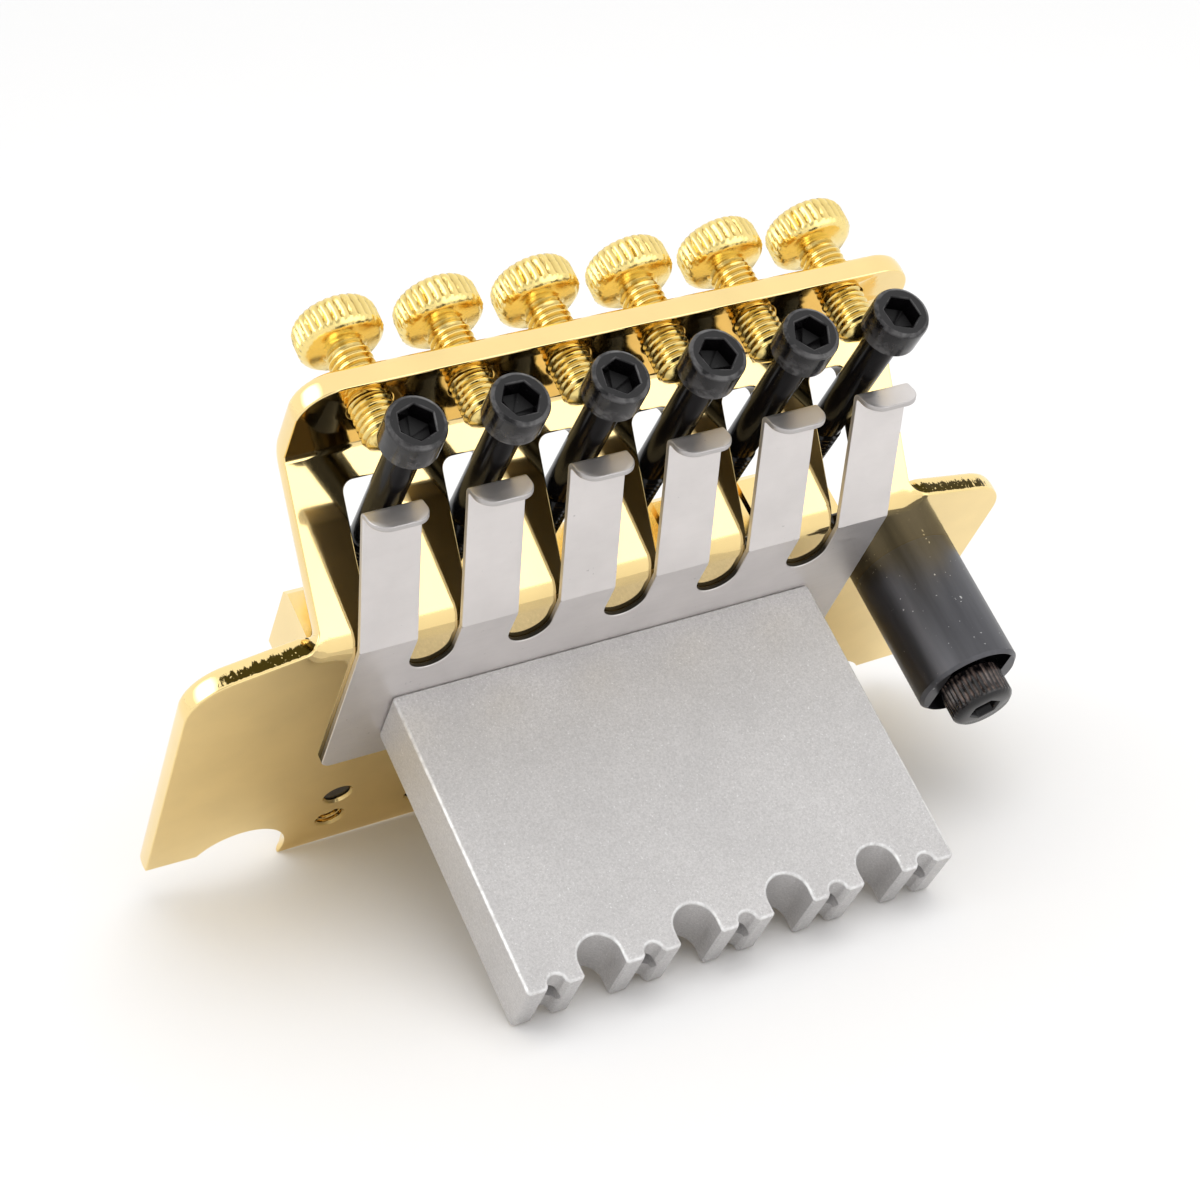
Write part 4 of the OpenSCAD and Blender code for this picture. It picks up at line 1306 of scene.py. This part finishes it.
def make_floor():
    """A pale floor that fades out round the object and is clear from behind."""
    up = floor_up()
    centre = Vector(FLOOR_MIDDLE) * MM
    centre -= up * (centre - Vector(FLOOR_POINT) * MM).dot(up) + up * FLOOR_GAP
    radius = FLOOR_RADIUS
    bm = bmesh.new()
    bmesh.ops.create_circle(bm, cap_ends=True, segments=96, radius=radius)
    mesh = bpy.data.meshes.new("floor")
    bm.to_mesh(mesh)
    bm.free()
    floor_disc = bpy.data.objects.new("floor", mesh)
    floor_disc.matrix_world = Matrix.Translation(centre) @ up.to_track_quat("Z", "Y").to_matrix().to_4x4()
    bpy.context.scene.collection.objects.link(floor_disc)
    paint = Shader("Pale floor")
    base = colours().floor
    cloud = paint.noise(6, 3)
    paint.set(Base_Color=paint.blend(paint.spread(cloud, 0, 1), base, tinted(base, 0.985)))
    paint.set(Roughness=0.85, Specular_IOR_Level=0.2)
    reach = paint.add("ShaderNodeVectorMath", operation="LENGTH")
    paint.link(paint.place, reach.inputs[0])
    fade = paint.span(reach.outputs["Value"], FLOOR_FADE_FROM, radius * 0.95, 0, 1)
    back = paint.add("ShaderNodeNewGeometry").outputs["Backfacing"]
    hidden = paint.times(fade, back, "MAXIMUM")
    clear = paint.add("ShaderNodeBsdfTransparent")
    mix = paint.add("ShaderNodeMixShader")
    paint.link(hidden, mix.inputs[0])
    paint.link(paint.surface.outputs[0], mix.inputs[1])
    paint.link(clear.outputs[0], mix.inputs[2])
    output = next(n for n in paint.tree.nodes if n.type == "OUTPUT_MATERIAL")
    paint.link(mix.outputs[0], output.inputs["Surface"])
    mesh.materials.append(paint.material)


class Surround:
    """The world's node tree, built a node at a time."""

    def __init__(self, name):
        world = bpy.data.worlds.new(name)
        bpy.context.scene.world = world
        world.use_nodes = True
        self.tree = world.node_tree
        self.tree.nodes.clear()
        self.toward = self.add("ShaderNodeTexCoord").outputs["Generated"]

    add = Shader.add
    link = Shader.link
    times = Shader.times

    def lobe(self, direction, start, full, low, high):
        """A soft round patch of light: the cosines at its rim and its core, and the levels there."""
        dot = self.add("ShaderNodeVectorMath", operation="DOT_PRODUCT")
        self.link(self.toward, dot.inputs[0])
        dot.inputs[1].default_value = Vector(direction).normalized()
        made = self.add("ShaderNodeMapRange", interpolation_type="SMOOTHSTEP")
        self.link(dot.outputs["Value"], made.inputs["Value"])
        for key, number in zip(("From Min", "From Max", "To Min", "To Max"), (start, full, low, high)):
            made.inputs[key].default_value = number
        return made.outputs[0]

    def choose(self, share, first, second):
        made = self.add("ShaderNodeMix", data_type="FLOAT")
        self.link(share, made.inputs[0])
        self.link(first, made.inputs[2])
        self.link(second, made.inputs[3])
        return made.outputs[0]


def make_world():
    """White surroundings; what metal sees of them darkens towards the camera's side, as in a light tent."""
    tent = Surround("Studio")
    seen_by_metal = tent.lobe(Vector(CAMERA_FORWARD) * -1, 0.90, 0.99, TENT_LEVEL, LENS_SHADE)
    for direction, start, full, level in GLOWS:
        seen_by_metal = tent.times(seen_by_metal, tent.lobe(direction, start, full, 0.0, level), "ADD")
    rays = tent.add("ShaderNodeLightPath")
    seen = tent.times(rays.outputs["Is Camera Ray"], rays.outputs["Is Transmission Ray"], "MAXIMUM")
    level = tent.choose(rays.outputs["Is Glossy Ray"], FILL_LEVEL, seen_by_metal)
    level = tent.choose(seen, level, BACKDROP_LEVEL)
    shade = tent.add("ShaderNodeBackground")
    shade.inputs["Color"].default_value = (1, 1, 1, 1)
    tent.link(level, shade.inputs["Strength"])
    output = tent.add("ShaderNodeOutputWorld")
    tent.link(shade.outputs[0], output.inputs["Surface"])


def make_lamp(name, toward, distance, size, power):
    """A square softbox that faces the object from that direction."""
    data = bpy.data.lights.new(name, "AREA")
    data.shape = "SQUARE"
    data.size = size
    data.energy = power
    lamp = bpy.data.objects.new(name, data)
    direction = Vector(toward).normalized()
    facing = direction.to_track_quat("Z", "Y").to_matrix().to_4x4()
    lamp.matrix_world = Matrix.Translation(Vector(LAMP_TARGET) + direction * distance) @ facing
    lamp.visible_glossy = False
    bpy.context.scene.collection.objects.link(lamp)


class BRIDGE_OT_stage(bpy.types.Operator):
    """Makes the camera, floor, surroundings and lamps"""
    bl_idname = "bridge.stage"
    bl_label = "Stage"

    def execute(self, context):
        make_camera()
        make_floor()
        make_world()
        up = floor_up()
        right = Vector(CAMERA_RIGHT)
        back = Vector(CAMERA_FORWARD) * -1
        make_lamp("Top softbox", up * 1.0 + right * 0.2 + back * 0.1, 0.7, 0.6, 1.7)
        make_lamp("Left softbox", right * -1.0 + up * 0.6 + back * 0.3, 0.8, 0.5, 0.4)
        context.scene.view_settings.view_transform = "Standard"
        return {"FINISHED"}


OPERATORS = (BRIDGE_OT_plate, BRIDGE_OT_block, BRIDGE_OT_leaf_spring, BRIDGE_OT_tuners, BRIDGE_OT_locks,
             BRIDGE_OT_saddles, BRIDGE_OT_arm_socket, BRIDGE_OT_stage)


class BRIDGE_PT_panel(bpy.types.Panel):
    """Lists the bridge's sizes, colours and piece groups"""
    bl_idname = "BRIDGE_PT_panel"
    bl_label = "Tremolo bridge"
    bl_space_type = "VIEW_3D"
    bl_region_type = "UI"
    bl_category = "Bridge"

    def draw(self, context):
        for group in (context.scene.bridge_sizes, context.scene.bridge_colours):
            for key in group.bl_rna.properties.keys():
                if key not in ("rna_type", "name"):
                    self.layout.prop(group, key)
        for kind in OPERATORS:
            self.layout.operator(kind.bl_idname)


CLASSES = (BridgeSizes, BridgeColours, *OPERATORS, BRIDGE_PT_panel)


def register():
    for kind in CLASSES:
        bpy.utils.register_class(kind)
    bpy.types.Scene.bridge_sizes = PointerProperty(type=BridgeSizes)
    bpy.types.Scene.bridge_colours = PointerProperty(type=BridgeColours)


def unregister():
    del bpy.types.Scene.bridge_colours
    del bpy.types.Scene.bridge_sizes
    for kind in reversed(CLASSES):
        bpy.utils.unregister_class(kind)


def main():
    register()
    bpy.ops.bridge.plate()
    bpy.ops.bridge.block()
    bpy.ops.bridge.leaf_spring()
    bpy.ops.bridge.tuners()
    bpy.ops.bridge.locks()
    bpy.ops.bridge.saddles()
    bpy.ops.bridge.arm_socket()
    bpy.ops.bridge.stage()


if __name__ == "__main__":
    main()
